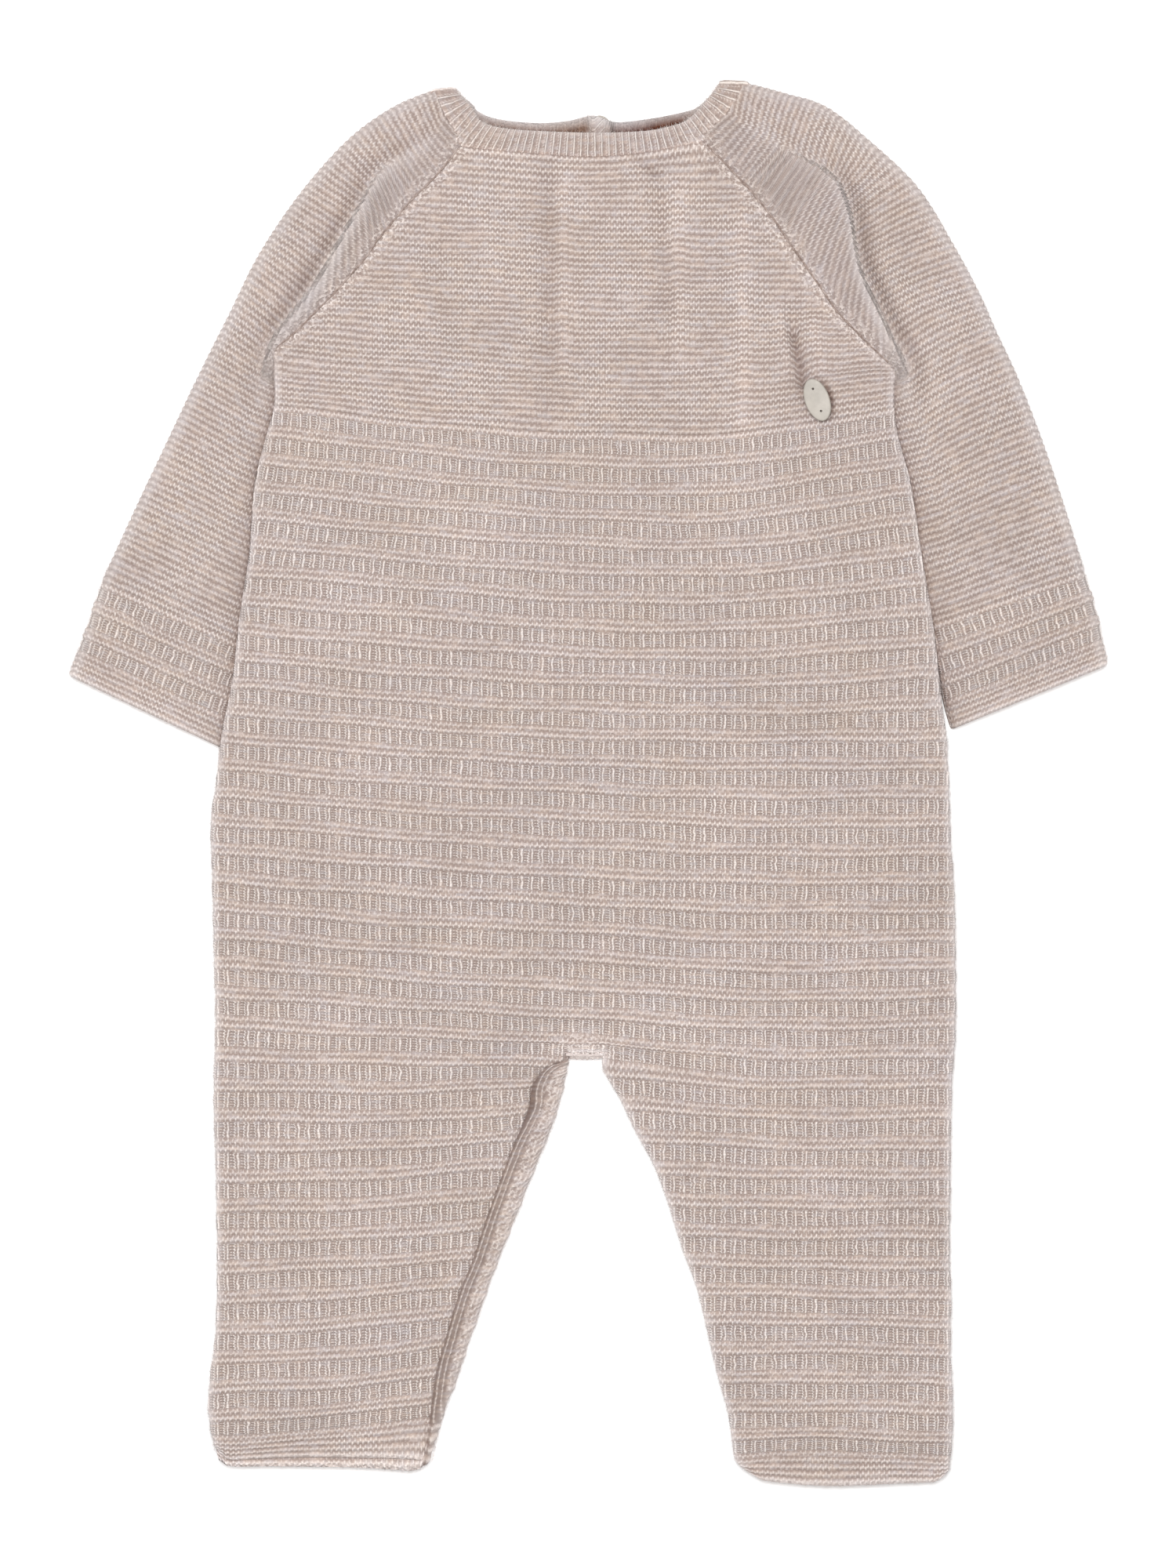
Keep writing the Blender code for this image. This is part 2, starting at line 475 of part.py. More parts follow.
def front_panel(finish, collection):
    """The front: yoke, body and both front legs in one knitted panel."""
    half = (LEG_SPLIT, 0.09, 0.3, 0.52, 0.75, 0.97, 1.0)
    across = [-value for value in reversed(half)] + list(half)
    rows = welted_courses()
    middle = len(half) - 1

    def gone(column, row):
        return column == middle and rows[row] >= CROTCH_COURSE

    columns = [(value,) for value in across]
    plain = {number for number, row in enumerate(rows) if row > 0 and row % 1 and row != CROTCH_COURSE}
    return knit_wall("front_panel", columns, rows, front_place, finish, collection, gone, plain)


# Columns of the back: the place across, how far round the right inner fold, and how far along
# the stretch that has rolled over onto the front.
BACK_COLUMNS = (
    (-1.0, 0, 0), (-0.7, 0, 0), (-0.4, 0, 0), (-LEG_SPLIT, 0, 0), (-LEG_SPLIT, 0.25, 0),
    (-LEG_SPLIT, 0.5, 0), (-LEG_SPLIT, 0.75, 0), (-LEG_SPLIT, 1, 0), (-LEG_SPLIT, 1, 0.5),
    (-LEG_SPLIT, 1, 1), (LEG_SPLIT, 0, 0), (0.4, 0, 0), (0.7, 0, 0), (1.0, 0, 0))
ROLL_TURNED = 0.3              # courses below the crotch in which the roll turns up
HEM_DROP_RIGHT = 3.0           # the right leg's back hem shows below the front's
HEM_DROP_LEFT = -1.0


def back_place(columns, course, outside):
    """A point of the back, which lies flat and wraps the right leg's inner fold."""
    across, around, over = columns[:, 0], columns[:, 1], columns[:, 2]
    x, y = panel_plan(across, course, INSEAM_RIGHT_FOLD)
    neck_y = read(BACK_NECK_ROW, "y", "across", across)
    y = y + (neck_y - panel_plan(across, 0 * course + NECK_COURSE, INSEAM_RIGHT_FOLD)[1]) \
        * (1 - ease((course - NECK_COURSE) / 3))
    hem = ease((course - BORDER_COURSE) / (HEM_COURSE - BORDER_COURSE))
    y = y - hem * np.where(across < 0, HEM_DROP_RIGHT, HEM_DROP_LEFT)

    rolling = np.abs(across + LEG_SPLIT) < 0.001
    share = (around * 4 + over * 2) / 6
    curled = ease((course - CROTCH_COURSE) / ROLL_TURNED)
    laid = ease((course - CROTCH_COURSE) / ROLL_TURNED - 1)
    turn = 1 - np.where(rolling, (share + (around - share) * laid) * curled, 0)
    axis_x = x - FOLD_REACH
    seam_x = read(INSEAM_RIGHT_FRONT, "x", "y", y) + seam_shift(INSEAM_RIGHT_FRONT, y, SEAM_GAP)
    flat_x = axis_x + FOLD_REACH * share
    rolled_x = axis_x + (np.minimum(seam_x, axis_x) - axis_x) * over * laid
    x = np.where(rolling, flat_x + (rolled_x - flat_x) * curled, x)
    inward = (across < -LEG_SPLIT - 0.001) & (course > CROTCH_COURSE - 0.01)
    from_inner = (np.abs(across) - LEG_SPLIT) / (1 - LEG_SPLIT)
    x = x - np.where(inward, FOLD_REACH * (1 - from_inner), 0)

    slit = course < SLIT_END_COURSE + 0.001
    slit_left = slit & (np.abs(across - LEG_SPLIT) < 0.001)
    x = np.where(slit & rolling, x + (SLIT_X - SEAM_GAP / 2 - x) * share, x)
    x = np.where(slit_left, SLIT_X + SEAM_GAP / 2, x)

    z = cloth_height(turn, outside, 0, 0)
    radius = FOLD_RADIUS + (WALL / 2 if outside else -WALL / 2)
    x = x + radius * np.sin(math.pi * turn)
    at_side = np.abs(across) > 0.999
    at_inseam = (course >= CROTCH_COURSE) & (np.abs(across - LEG_SPLIT) < 0.001)
    x = x - np.where(at_side, np.sign(across) * overhang(y, z), 0)
    x = x + np.where(at_inseam, overhang(y, z), 0)
    return x, y, z


def back_panel(finish, collection):
    """The back: yoke, body and both back legs, with the slit at the neck."""
    rows = [-10, -9, -8, -7, -6, SLIT_END_COURSE, -4, -3.2, -2.6, -2.3, -2, -1.75, -1.5, -1, -0.5,
            0, 1, 2, 4, 7, 10, 13, 16, 19, 21, 22, CROTCH_COURSE]
    rows += [CROTCH_COURSE + ROLL_TURNED * step for step in (1 / 3, 2 / 3, 1, 1.5, 2)]
    rows += [24, 25, 26, 28, 30, 32, 34, 35, BORDER_COURSE, 36.5, HEM_COURSE]
    middle = 9

    def gone(column, row):
        in_slit = rows[row] < SLIT_END_COURSE
        between_legs = rows[row] >= CROTCH_COURSE
        return column == middle and (in_slit or between_legs)

    return knit_wall("back_panel", BACK_COLUMNS, rows, back_place, finish, collection, gone)


# Columns of a sleeve: how far from the inner edge (0) to the fold (1), and the turn round it.
SLEEVE_COLUMNS = (
    (0, 0), (0.04, 0), (0.25, 0), (0.38, 0), (0.45, 0), (0.5, 0), (0.58, 0), (0.78, 0), (1, 0),
    (1, 0.25), (1, 0.5), (1, 0.75), (1, 1), (0.5, 1), (0, 1))


def sleeve_place(rows, edge, side):
    """The function that places a sleeve's points, for its table, the body's edge and its side."""
    cuff_start = rows["row"][-1] - CUFF_BANDS - 1

    def place(columns, row, outside):
        along, turn = columns[:, 0], columns[:, 1]
        inner_y = read(rows, "inner_y", "row", row)
        stand_off = read(rows, "stand_off", "row", row) + seam_shift(edge, inner_y, SEAM_GAP)
        inner_x = read(edge, "x", "y", inner_y) + side * stand_off
        fold_x = read(rows, "fold_x", "row", row)
        fold_y = read(rows, "fold_y", "row", row)
        crease_x = read(rows, "crease_x", "row", row)
        crease_y = read(rows, "crease_y", "row", row)
        reach = np.hypot(fold_x - crease_x, fold_y - crease_y)
        out_x, out_y = (fold_x - crease_x) / reach, (fold_y - crease_y) / reach
        axis_x, axis_y = fold_x - FOLD_REACH * out_x, fold_y - FOLD_REACH * out_y
        near = np.clip(along / CREASE_SHARE, 0, 1)
        far = np.clip((along - CREASE_SHARE) / (1 - CREASE_SHARE), 0, 1)
        x = inner_x + (crease_x - inner_x) * near + (axis_x - crease_x) * far
        y = inner_y + (crease_y - inner_y) * near + (axis_y - crease_y) * far

        hump = np.where(along <= CREASE_SHARE, np.sin(math.pi / 2 * near) ** 2,
                        np.exp(-((along - CREASE_SHARE) / CREASE_FALL) ** 2))
        on_front = turn < 0.01
        lift = read(rows, "crease_lift", "row", row) * hump * on_front
        in_cuff = row - cuff_start
        is_welt = (in_cuff > 0.5) & (in_cuff < CUFF_BANDS - 0.5)
        relief = np.where(is_welt, welt_profile(in_cuff), 0)
        in_border = np.clip((in_cuff - CUFF_BANDS) * BORDER_RIDGES, 0, BORDER_RIDGES)
        relief = relief + BORDER_RISE * np.sin(math.pi * in_border) ** 2
        relief = np.where(turn < 0.6, relief, 0)
        at_edge = along < 0.001
        relief = np.where(at_edge & on_front, -EDGE_THINNING, relief)

        z = cloth_height(turn, outside, lift, relief if outside else 0)
        radius = FOLD_RADIUS + (WALL / 2 + relief if outside else -WALL / 2)
        x = x + radius * np.sin(math.pi * turn) * out_x
        y = y + radius * np.sin(math.pi * turn) * out_y
        x = x - np.where(at_edge, side * overhang(inner_y, z), 0)
        return x, y, z

    return place


def sleeve(name, rows, edge, side, finish, collection):
    """A raglan sleeve: one piece folded along the top of the arm, with a banded cuff."""
    last = rows["row"][-1]
    cuff_start = last - CUFF_BANDS - 1
    armpit = {-1: 5.0, 1: 7.0}[side]
    stations = [0.5 * i for i in range(int(2 * armpit) + 1)]
    stations += [armpit + 0.1, armpit + 0.25, armpit + 0.5]
    stations += list(np.arange(armpit + 0.75, armpit + 2.3, 0.25))
    stations += list(np.arange(armpit + 3, cuff_start + 0.1, 1.0))
    for band in range(1, CUFF_BANDS):
        stations += welt_rows(cuff_start + band)
    border = cuff_start + CUFF_BANDS
    stations += [border + i / (2 * BORDER_RIDGES) for i in range(2 * BORDER_RIDGES + 1)]
    place = sleeve_place(rows, edge, side)
    stations = sorted(set(round(float(value), 4) for value in stations))
    plain = {number for number, row in enumerate(stations) if row > cuff_start and row % 1}
    return knit_wall(name, SLEEVE_COLUMNS, stations, place, finish, collection, None, plain)


def band_place(columns, station, outside):
    """A point of the neckband: columns hold how far across it is from seam (0) to neck (1)."""
    across = columns[:, 0]
    seam_x = read(BAND_STATIONS, "seam_x", "station", station)
    seam_y = read(BAND_STATIONS, "seam_y", "station", station)
    neck_x = read(BAND_STATIONS, "neck_x", "station", station)
    neck_y = read(BAND_STATIONS, "neck_y", "station", station)
    turn = np.clip(read(BAND_STATIONS, "turn", "station", station), 0, 1)
    seam_lift = read(BAND_STATIONS, "seam_lift", "station", station)
    neck_lift = read(BAND_STATIONS, "neck_lift", "station", station)
    x = seam_x + (neck_x - seam_x) * across
    y = seam_y + (neck_y - seam_y) * across
    lift = seam_lift + (neck_lift - seam_lift) * across

    first_end = np.where(station < 10, 1.0, 0.0)
    at_back = first_end + np.where(station > 26, 1.0, 0.0)
    from_lap = np.maximum(np.abs(x - SLIT_X) - LAP_HALF, 0)
    thinned = ease(1 - from_lap / LAP_RUN) * at_back
    raised = np.exp(-(from_lap / LAP_SLOPE) ** 2) * at_back
    over_button = CLOSING_BUTTON_THICKNESS + LAP_CLEARANCE - LAP_SEAM_RAISE
    lift = lift + raised * (LAP_SEAM_RAISE + over_button * ease(across / 0.5))
    lift = lift + thinned * first_end * (LAP_THICKNESS + LAP_CLEARANCE)
    thin = WALL - BAND_WALL + (BAND_WALL - LAP_THICKNESS) * thinned
    if outside:
        number = np.round(band_rib_number(station))
        rib = NECK_RIB_RISE * np.where(number % 2 == 0, 1, -1)
        relief = np.where(turn < 0.6, rib * (across > 0.05), 0)
    else:
        relief = -thin
    z = cloth_height(turn, outside, lift, relief)
    lean = np.where(x < 0, -1, 1) * math.sin(SHOULDER_LEAN)
    radius = FOLD_RADIUS + (WALL / 2 + relief if outside else -WALL / 2 - relief)
    x = x + radius * np.sin(math.pi * turn) * lean
    y = y + radius * np.sin(math.pi * turn) * math.cos(SHOULDER_LEAN)
    return x, y, z


def band_length(stations):
    """Length along the middle of the neckband up to each station."""
    x = (read(BAND_STATIONS, "seam_x", "station", stations)
         + read(BAND_STATIONS, "neck_x", "station", stations)) / 2
    y = (read(BAND_STATIONS, "seam_y", "station", stations)
         + read(BAND_STATIONS, "neck_y", "station", stations)) / 2
    turn = read(BAND_STATIONS, "turn", "station", stations)
    steps = np.hypot(np.hypot(np.diff(x), np.diff(y)), np.diff(turn) * math.pi * FOLD_RADIUS)
    return np.concatenate([[0], np.cumsum(steps)])


BAND_SAMPLES = np.linspace(0, BAND_STATIONS["station"][-1], 1401)
BAND_LENGTHS = band_length(BAND_SAMPLES)


def band_rib_number(station):
    """Number of wales from the neckband's first end."""
    return np.interp(station, BAND_SAMPLES, BAND_LENGTHS) / (NECK_RIB_PITCH / 2)


def neckband(finish, collection):
    """The ribbed band round the neck, its two ends lapped at the middle of the back."""
    wales = int(BAND_LENGTHS[-1] / (NECK_RIB_PITCH / 2))
    lengths = np.arange(wales + 1) * (NECK_RIB_PITCH / 2)
    stations = np.interp(lengths, BAND_LENGTHS, BAND_SAMPLES)
    columns = ((0.0,), (0.5,), (1.0,))
    return knit_wall("neckband", columns, list(stations), band_place, finish, collection)


def crotch_gusset(finish, collection):
    """The small strip that closes the crotch between the four inner leg seams."""
    start = INSEAM_RIGHT_FOLD["x"][2] + 1.0
    end = INSEAM_LEFT["x"][2] - SEAM_GAP
    crotch_y = RIGHT_LEG_ROWS["inner_y"][1] - SEAM_GAP
    thickness = 1.5
    bulge = 0.5

    def place(columns, level, outside):
        along = columns[:, 0]
        x = start + (end - start) * along
        bow = bulge * np.sin(math.pi * along) * np.sin(math.pi * level)
        y = crotch_y - (thickness * (0.55 + 0.45 * np.sin(math.pi * level)) + bow if outside else 0)
        z = 0.2 + (2 * MID_HEIGHT - 0.4) * level
        return x, y + 0 * x, z

    columns = [(i / 6,) for i in range(7)]
    levels = [0, 0.2, 0.5, 0.8, 1]
    return knit_wall("crotch_gusset", columns, levels, place, finish, collection)


def drill(piece, centres, radius, turn, cutters):
    """Cuts round holes through a plate, at places along its long axis."""
    for number, (x, y, z) in enumerate(centres):
        bpy.ops.mesh.primitive_cylinder_add(vertices=12, radius=radius * MM, depth=8 * MM,
                                            location=(x * MM, y * MM, z * MM), rotation=turn)
        cutter = bpy.context.active_object
        cutter.name = piece.name + "_hole_" + str(number)
        for holder in list(cutter.users_collection):
            holder.objects.unlink(cutter)
        cutters.objects.link(cutter)
        cutter.hide_render = True
        cutter.display_type = "WIRE"
        cut = piece.modifiers.new("hole_" + str(number), "BOOLEAN")
        cut.operation = "DIFFERENCE"
        cut.solver = "EXACT"
        cut.object = cutter


def plate(name, size, edge, around, place, turn, finish, collection):
    """A rounded oval plate lying at its place, turned about Z and then tilted."""
    bm = bmesh.new()
    bmesh.ops.create_cone(bm, cap_ends=True, cap_tris=False, segments=around, radius1=0.5,
                          radius2=0.5, depth=1.0)
    bmesh.ops.scale(bm, vec=[value * MM for value in size], verts=bm.verts)
    rims = [item for item in bm.edges if abs(item.verts[0].co.z - item.verts[1].co.z) < 1e-7]
    bmesh.ops.bevel(bm, geom=rims, offset=edge * MM, segments=2, profile=0.5, affect="EDGES",
                    material=-1)
    mesh = bpy.data.meshes.new(name)
    bm.to_mesh(mesh)
    bm.free()
    made = add_object(name, mesh, finish, collection)
    made.location = tuple(value * MM for value in place)
    made.rotation_euler = turn
    return made


def top_under(x, y, length, width, angle):
    """Height of the highest cloth under an oval plate."""
    heights = []
    for across in np.linspace(0.55, 1.0, 46):
        for course in np.linspace(-3.0, 0.6, 37):
            px, py = panel_plan(np.array([across]), np.array([course]), INSEAM_RIGHT_FRONT)
            dx, dy = px[0] - x, py[0] - y
            along = (dx * math.cos(angle) + dy * math.sin(angle)) / (length / 2)
            beside = (-dx * math.sin(angle) + dy * math.cos(angle)) / (width / 2)
            if along ** 2 + beside ** 2 < 1.2:
                lift = front_lift(np.array([across]), np.array([course]), px, py)[0]
                heights.append(2 * MID_HEIGHT + lift)
    return max(heights)


def oval_button(finish, collection, cutters):
    """The oval plate sewn to the front, with its two holes."""
    lean = BUTTON_WIDTH / 2 * math.sin(BUTTON_TILT)
    under = top_under(BUTTON_X, BUTTON_Y, BUTTON_LENGTH, BUTTON_WIDTH, BUTTON_TURN)
    height = under + 0.35 + BUTTON_THICKNESS / 2 + lean
    turn = (BUTTON_TILT, 0, BUTTON_TURN)
    size = (BUTTON_LENGTH, BUTTON_WIDTH, BUTTON_THICKNESS)
    piece = plate("oval_button", size, BUTTON_EDGE, 28, (BUTTON_X, BUTTON_Y, height), turn, finish,
                  collection)
    centres = []
    for side in (-1, 1):
        away = side * BUTTON_HOLE_SPREAD
        centres.append((BUTTON_X + away * math.cos(BUTTON_TURN),
                        BUTTON_Y + away * math.sin(BUTTON_TURN), height))
    drill(piece, centres, BUTTON_HOLE_RADIUS, turn, cutters)
    return piece


def back_button(finish, collection, cutters):
    """The small round button that closes the lapped ends of the neckband."""
    width = 2 * CLOSING_BUTTON_RADIUS
    height = CLOSING_BUTTON_THICKNESS / 2
    size = (width, width, CLOSING_BUTTON_THICKNESS)
    piece = plate("back_button", size, 0.3, 18, (SLIT_X, CLOSING_BUTTON_Y, height), (0, 0, 0),
                  finish, collection)
    centres = [(SLIT_X + side * 1.1, CLOSING_BUTTON_Y, height) for side in (-1, 1)]
    drill(piece, centres, 0.5, (0, 0, 0), cutters)
    return piece


def main():
    """Builds the romper from nothing."""
    for old in list(bpy.data.objects):
        bpy.data.objects.remove(old, do_unlink=True)
    romper = bpy.data.collections.new("baby_romper")
    cutters = bpy.data.collections.new("cutters")
    bpy.context.scene.collection.children.link(romper)
    bpy.context.scene.collection.children.link(cutters)

    cloth = material("melange_knit", CLOTH_COLOUR, 0.9)
    rib = material("rib_knit", BAND_COLOUR, 0.9)
    resin = material("button_resin", BUTTON_COLOUR, 0.45)

    front_panel(cloth, romper)
    back_panel(cloth, romper)
    sleeve("sleeve_right", RIGHT_SLEEVE_ROWS, EDGE_RIGHT, -1, cloth, romper)
    sleeve("sleeve_left", LEFT_SLEEVE_ROWS, EDGE_LEFT, 1, cloth, romper)
    neckband(rib, romper)
    crotch_gusset(cloth, romper)
    oval_button(resin, romper, cutters)
    back_button(resin, romper, cutters)


main()
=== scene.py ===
"""Looks of a knitted baby romper laid flat on its back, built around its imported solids.

The frame: metres, +Z up, the front of the garment uppermost, the neck towards +Y, the wearer's right
at -X. Tables and sizes are in millimetres. A knitted place is told by its course: one course is one
rib band with its welt, 0 is the lower edge of the yoke, -10 the neck seam and 37 the hem.
"""

import math

import bmesh
import bpy
import numpy as np
from mathutils import Matrix, Vector


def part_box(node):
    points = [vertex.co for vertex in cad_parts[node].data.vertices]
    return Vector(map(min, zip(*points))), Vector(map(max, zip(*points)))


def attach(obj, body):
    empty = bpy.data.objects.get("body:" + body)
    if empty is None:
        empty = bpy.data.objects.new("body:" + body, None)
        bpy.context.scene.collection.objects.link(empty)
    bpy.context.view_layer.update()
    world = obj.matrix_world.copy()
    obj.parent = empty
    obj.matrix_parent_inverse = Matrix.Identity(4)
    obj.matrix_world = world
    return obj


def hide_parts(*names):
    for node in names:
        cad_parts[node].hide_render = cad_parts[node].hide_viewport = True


bl_info = {
    "name": "Knitted Baby Romper",
    "version": (1, 0, 0),
    "blender": (4, 5, 0),
    "location": "3D View > Sidebar > Romper",
    "description": "Builds the cloth, buttons and sewing of a knitted baby romper laid flat",
    "category": "Object",
}

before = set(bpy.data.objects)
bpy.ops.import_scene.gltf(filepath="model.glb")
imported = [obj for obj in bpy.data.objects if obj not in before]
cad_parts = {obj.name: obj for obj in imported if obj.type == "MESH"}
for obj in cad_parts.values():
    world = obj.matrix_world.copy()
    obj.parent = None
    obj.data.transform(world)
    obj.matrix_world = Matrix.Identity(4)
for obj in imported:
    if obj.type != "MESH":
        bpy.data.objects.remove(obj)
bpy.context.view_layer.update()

MM = 0.001
TURN = 2 * math.pi

# ---- sizes shared with the solids, mm -----------------------------------------------------------
WALL = 2.0
LAYER_GAP = 0.3
SEAM_GAP = 0.35
MID_HEIGHT = WALL + LAYER_GAP / 2
FOLD_RADIUS = (WALL + LAYER_GAP) / 2
FOLD_REACH = FOLD_RADIUS + WALL / 2
EDGE_THINNING = 0.9
EDGE_SLANT = 1.2
SLANT_START = 9.0

WELT_GROOVE = 0.12
WELT_HALF = 0.237
BORDER_RIDGES = 4
CROTCH_COURSE = 22.65
LEG_SPLIT = 0.05
MID_ACROSS = 0.45
NECK_COURSE = -10.0
HEM_COURSE = 37.0
BORDER_COURSE = 36.0

PUFF = 1.5
PUFF_EDGE = 22.0
PUFF_INSEAM = 18.0
BODY_HALF_WIDTH = 115.0
LEG_WIDTH = 84.0
NECK_LIFT = 1.0

NECK_RIB_PITCH = 2.35
BAND_WALL = 1.7
SLIT_X = 4.0
SLIT_END_COURSE = -5.0

BUTTON_LENGTH, BUTTON_WIDTH, BUTTON_THICKNESS = 14.9, 8.4, 1.6
BUTTON_X, BUTTON_Y = 77.9, 130.0
BUTTON_TURN = math.radians(-70.0)
BUTTON_TILT = math.radians(9.0)
BUTTON_HOLE_SPREAD = 4.0

CLOSING_BUTTON_RADIUS = 3.5
CLOSING_BUTTON_THICKNESS = 1.2
CLOSING_BUTTON_Y = 223.6
LAP_CLEARANCE = 0.3
LAP_THICKNESS = 1.0
LAP_HALF = 4.3
LAP_RUN = 11.0
LAP_SLOPE = 6.0
LAP_SEAM_RAISE = 0.4

# ---- finer sizes of the cloth, mm ---------------------------------------------------------------
FAR = 99.0                    # further than any edge's shaping reaches
ARMPIT_Y = 139.0              # height of the armpits
COURSE_HEIGHT = 9.4           # one course, where a way from a hem or the crotch is measured
PARTING_COURSE = 17.0         # where the front starts to settle towards the inner leg seams
RIDGES_PER_COURSE = 4.2       # garter ridges to one course of the yoke
STITCH_ROWS = 10.9            # knitted rows in one course of the bands
NECK_ROWS = 8.0               # knitted rows across the neckband
RIB_CREST = -0.155            # where in a rib repeat the knit wale stands highest
CROTCH_COLUMN = 6.9           # half width of the columns that end at the crotch
SPLIT_COURSE = 12.0           # the groove where the front's and back's body part into two meshes
ROLL_TURNED = 0.22            # courses over which the right leg's inner side turns up
HEM_DROP_RIGHT = 3.0          # how far the back's hem hangs below the front's, on each leg
HEM_DROP_LEFT = -1.0
EDGE_ROUND = 1.7              # width over which the cloth rounds down to its edge
RELIEF_FADE = 2.5             # width beside an edge over which the stitches come up
SEWN_GAP = -0.45              # how far two sewn pieces part; below 0 they reach past each other
HEM_LIP = 2.4                 # length over which a hem's outside rounds down to its edge
HEM_ROUNDING = 0.6            # how far it rounds down there
CORNER_RISE = 2.6             # how far a hem's corners are drawn up
CORNER_REACH = 2.4            # and over what width
SCALLOP = 0.3                 # how far a side edge swells and draws in with each course
SCALLOP_TOP = 20.0            # the height below which it does, where the sleeves end
ROLL_SLANT = 0.06             # courses that the turned strip's rows drop for each mm from its seam
ROLL_CHAINS = (1.1, 2.8)      # where the two chains of stitches run beside that seam


def table(names, *rows):
    """A table's columns, by name."""
    return {name: np.array(values, float) for name, values in zip(names.split(), zip(*rows))}


# ---- tables, mm: one row for each section -------------------------------------------------------
# Outer edges of the body: armhole seam, side seam and outer leg, from neck to hem.
EDGE_RIGHT = table(
    "y x",
    (216.5, -43.7), (207.2, -50.9), (199.5, -58.7), (188.0, -68.8), (176.3, -77.6), (163.5, -89.3),
    (152.0, -101.1), (147.7, -106.1), (145.0, -106.9), (140.8, -106.9), (128.3, -106.9),
    (116.8, -109.9), (102.9, -113.3), (79.5, -115.2), (55.7, -118.7), (31.7, -121.6), (18.1, -124.5),
    (10.1, -125.6), (-0.5, -126.7), (-11.2, -128.3), (-32.5, -128.0), (-53.9, -127.5),
    (-80.5, -126.9), (-107.2, -127.5), (-133.9, -126.7), (-187.2, -126.9), (-203.2, -128.8),
    (-213.9, -129.3), (-224.5, -127.7), (-230.9, -125.9), (-236.0, -124.5))
EDGE_LEFT = table(
    "y x",
    (218.1, 39.2), (206.4, 50.7), (194.1, 61.3), (182.1, 69.6), (170.7, 77.6), (160.3, 84.8),
    (152.3, 92.3), (145.6, 99.2), (141.9, 102.9), (139.7, 104.3), (135.5, 104.3), (127.5, 104.3),
    (119.2, 105.3), (102.9, 109.6), (79.5, 113.3), (54.9, 117.3), (36.0, 119.5), (24.5, 120.8),
    (14.7, 122.1), (-0.5, 122.9), (-21.9, 123.7), (-32.5, 124.5), (-53.9, 125.1), (-85.9, 125.1),
    (-101.9, 124.0), (-133.9, 123.5), (-160.5, 123.2), (-173.9, 123.7), (-192.5, 123.5),
    (-213.9, 124.3), (-229.9, 123.5), (-235.2, 122.7), (-237.9, 121.6), (-240.0, 121.0))

ARMPIT_ROW = 9                # the row of both tables at the armpit

# Knitted rows of the yoke and body: the height of each row at five places across.
BODY_ROWS = table(
    "course right_y right_mid_y centre_y left_mid_y left_y",
    (-10, 216.3, 214.1, 212.8, 214.1, 218.1),
    (-9, 206.7, 204.5, 203.5, 204.0, 204.3),
    (-8, 197.1, 195.2, 194.1, 194.1, 194.1),
    (-6, 179.5, 177.1, 175.5, 175.2, 175.5),
    (-4, 162.4, 158.9, 156.5, 156.5, 157.1),
    (-2.6, 150.4, 145.9, 143.5, 143.5, 146.9),
    (-2, 146.1, 140.5, 137.6, 137.9, 141.9),
    (-1.5, 141.3, 135.7, 133.1, 133.1, 139.2),
    (0, 128.3, 121.9, 118.7, 118.7, 127.5),
    (3, 101.1, 94.4, 91.2, 90.9, 100.0),
    (6, 72.0, 66.9, 63.2, 62.9, 69.3),
    (9, 43.2, 37.9, 34.9, 34.4, 37.9),
    (12, 15.7, 10.1, 7.5, 6.1, 6.4),
    (15, -12.8, -17.9, -20.8, -22.9, -22.7),
    (18, -41.6, -46.9, -49.6, -52.3, -52.3),
    (20, -61.1, -66.1, -69.1, -72.3, -70.9),
    (22, -81.1, -85.1, -87.7, -92.0, -91.5))

# Knitted rows of each leg: the height at the side seam, part way and at the inner leg.
RIGHT_LEG_ROWS = table(
    "course outer_y mid_y inner_y",
    (22, -81.1, -85.1, -87.7), (22.65, -88.5, -90.7, -92.3), (23, -92.5, -93.9, -95.5),
    (24, -102.9, -103.7, -102.1), (25, -113.1, -113.6, -110.9), (27, -133.9, -132.8, -129.6),
    (29, -154.7, -153.1, -150.1), (31, -175.5, -173.3, -170.1), (33, -195.7, -193.9, -189.9),
    (35, -215.7, -213.6, -209.6), (36, -224.0, -221.6, -218.1), (37, -230.9, -229.3, -230.9))
LEFT_LEG_ROWS = table(
    "course outer_y mid_y inner_y",
    (22, -91.5, -92.0, -87.7), (22.65, -98.1, -98.4, -92.3), (23, -101.6, -101.9, -97.6),
    (24, -112.3, -112.3, -109.1), (26, -132.8, -132.8, -131.2), (28, -153.3, -153.1, -152.0),
    (30, -173.9, -173.1, -172.5), (32, -193.6, -192.3, -192.3), (34, -213.1, -211.7, -212.3),
    (35, -222.9, -221.3, -221.9), (36, -230.9, -229.3, -230.4), (37, -237.9, -239.5, -237.1))

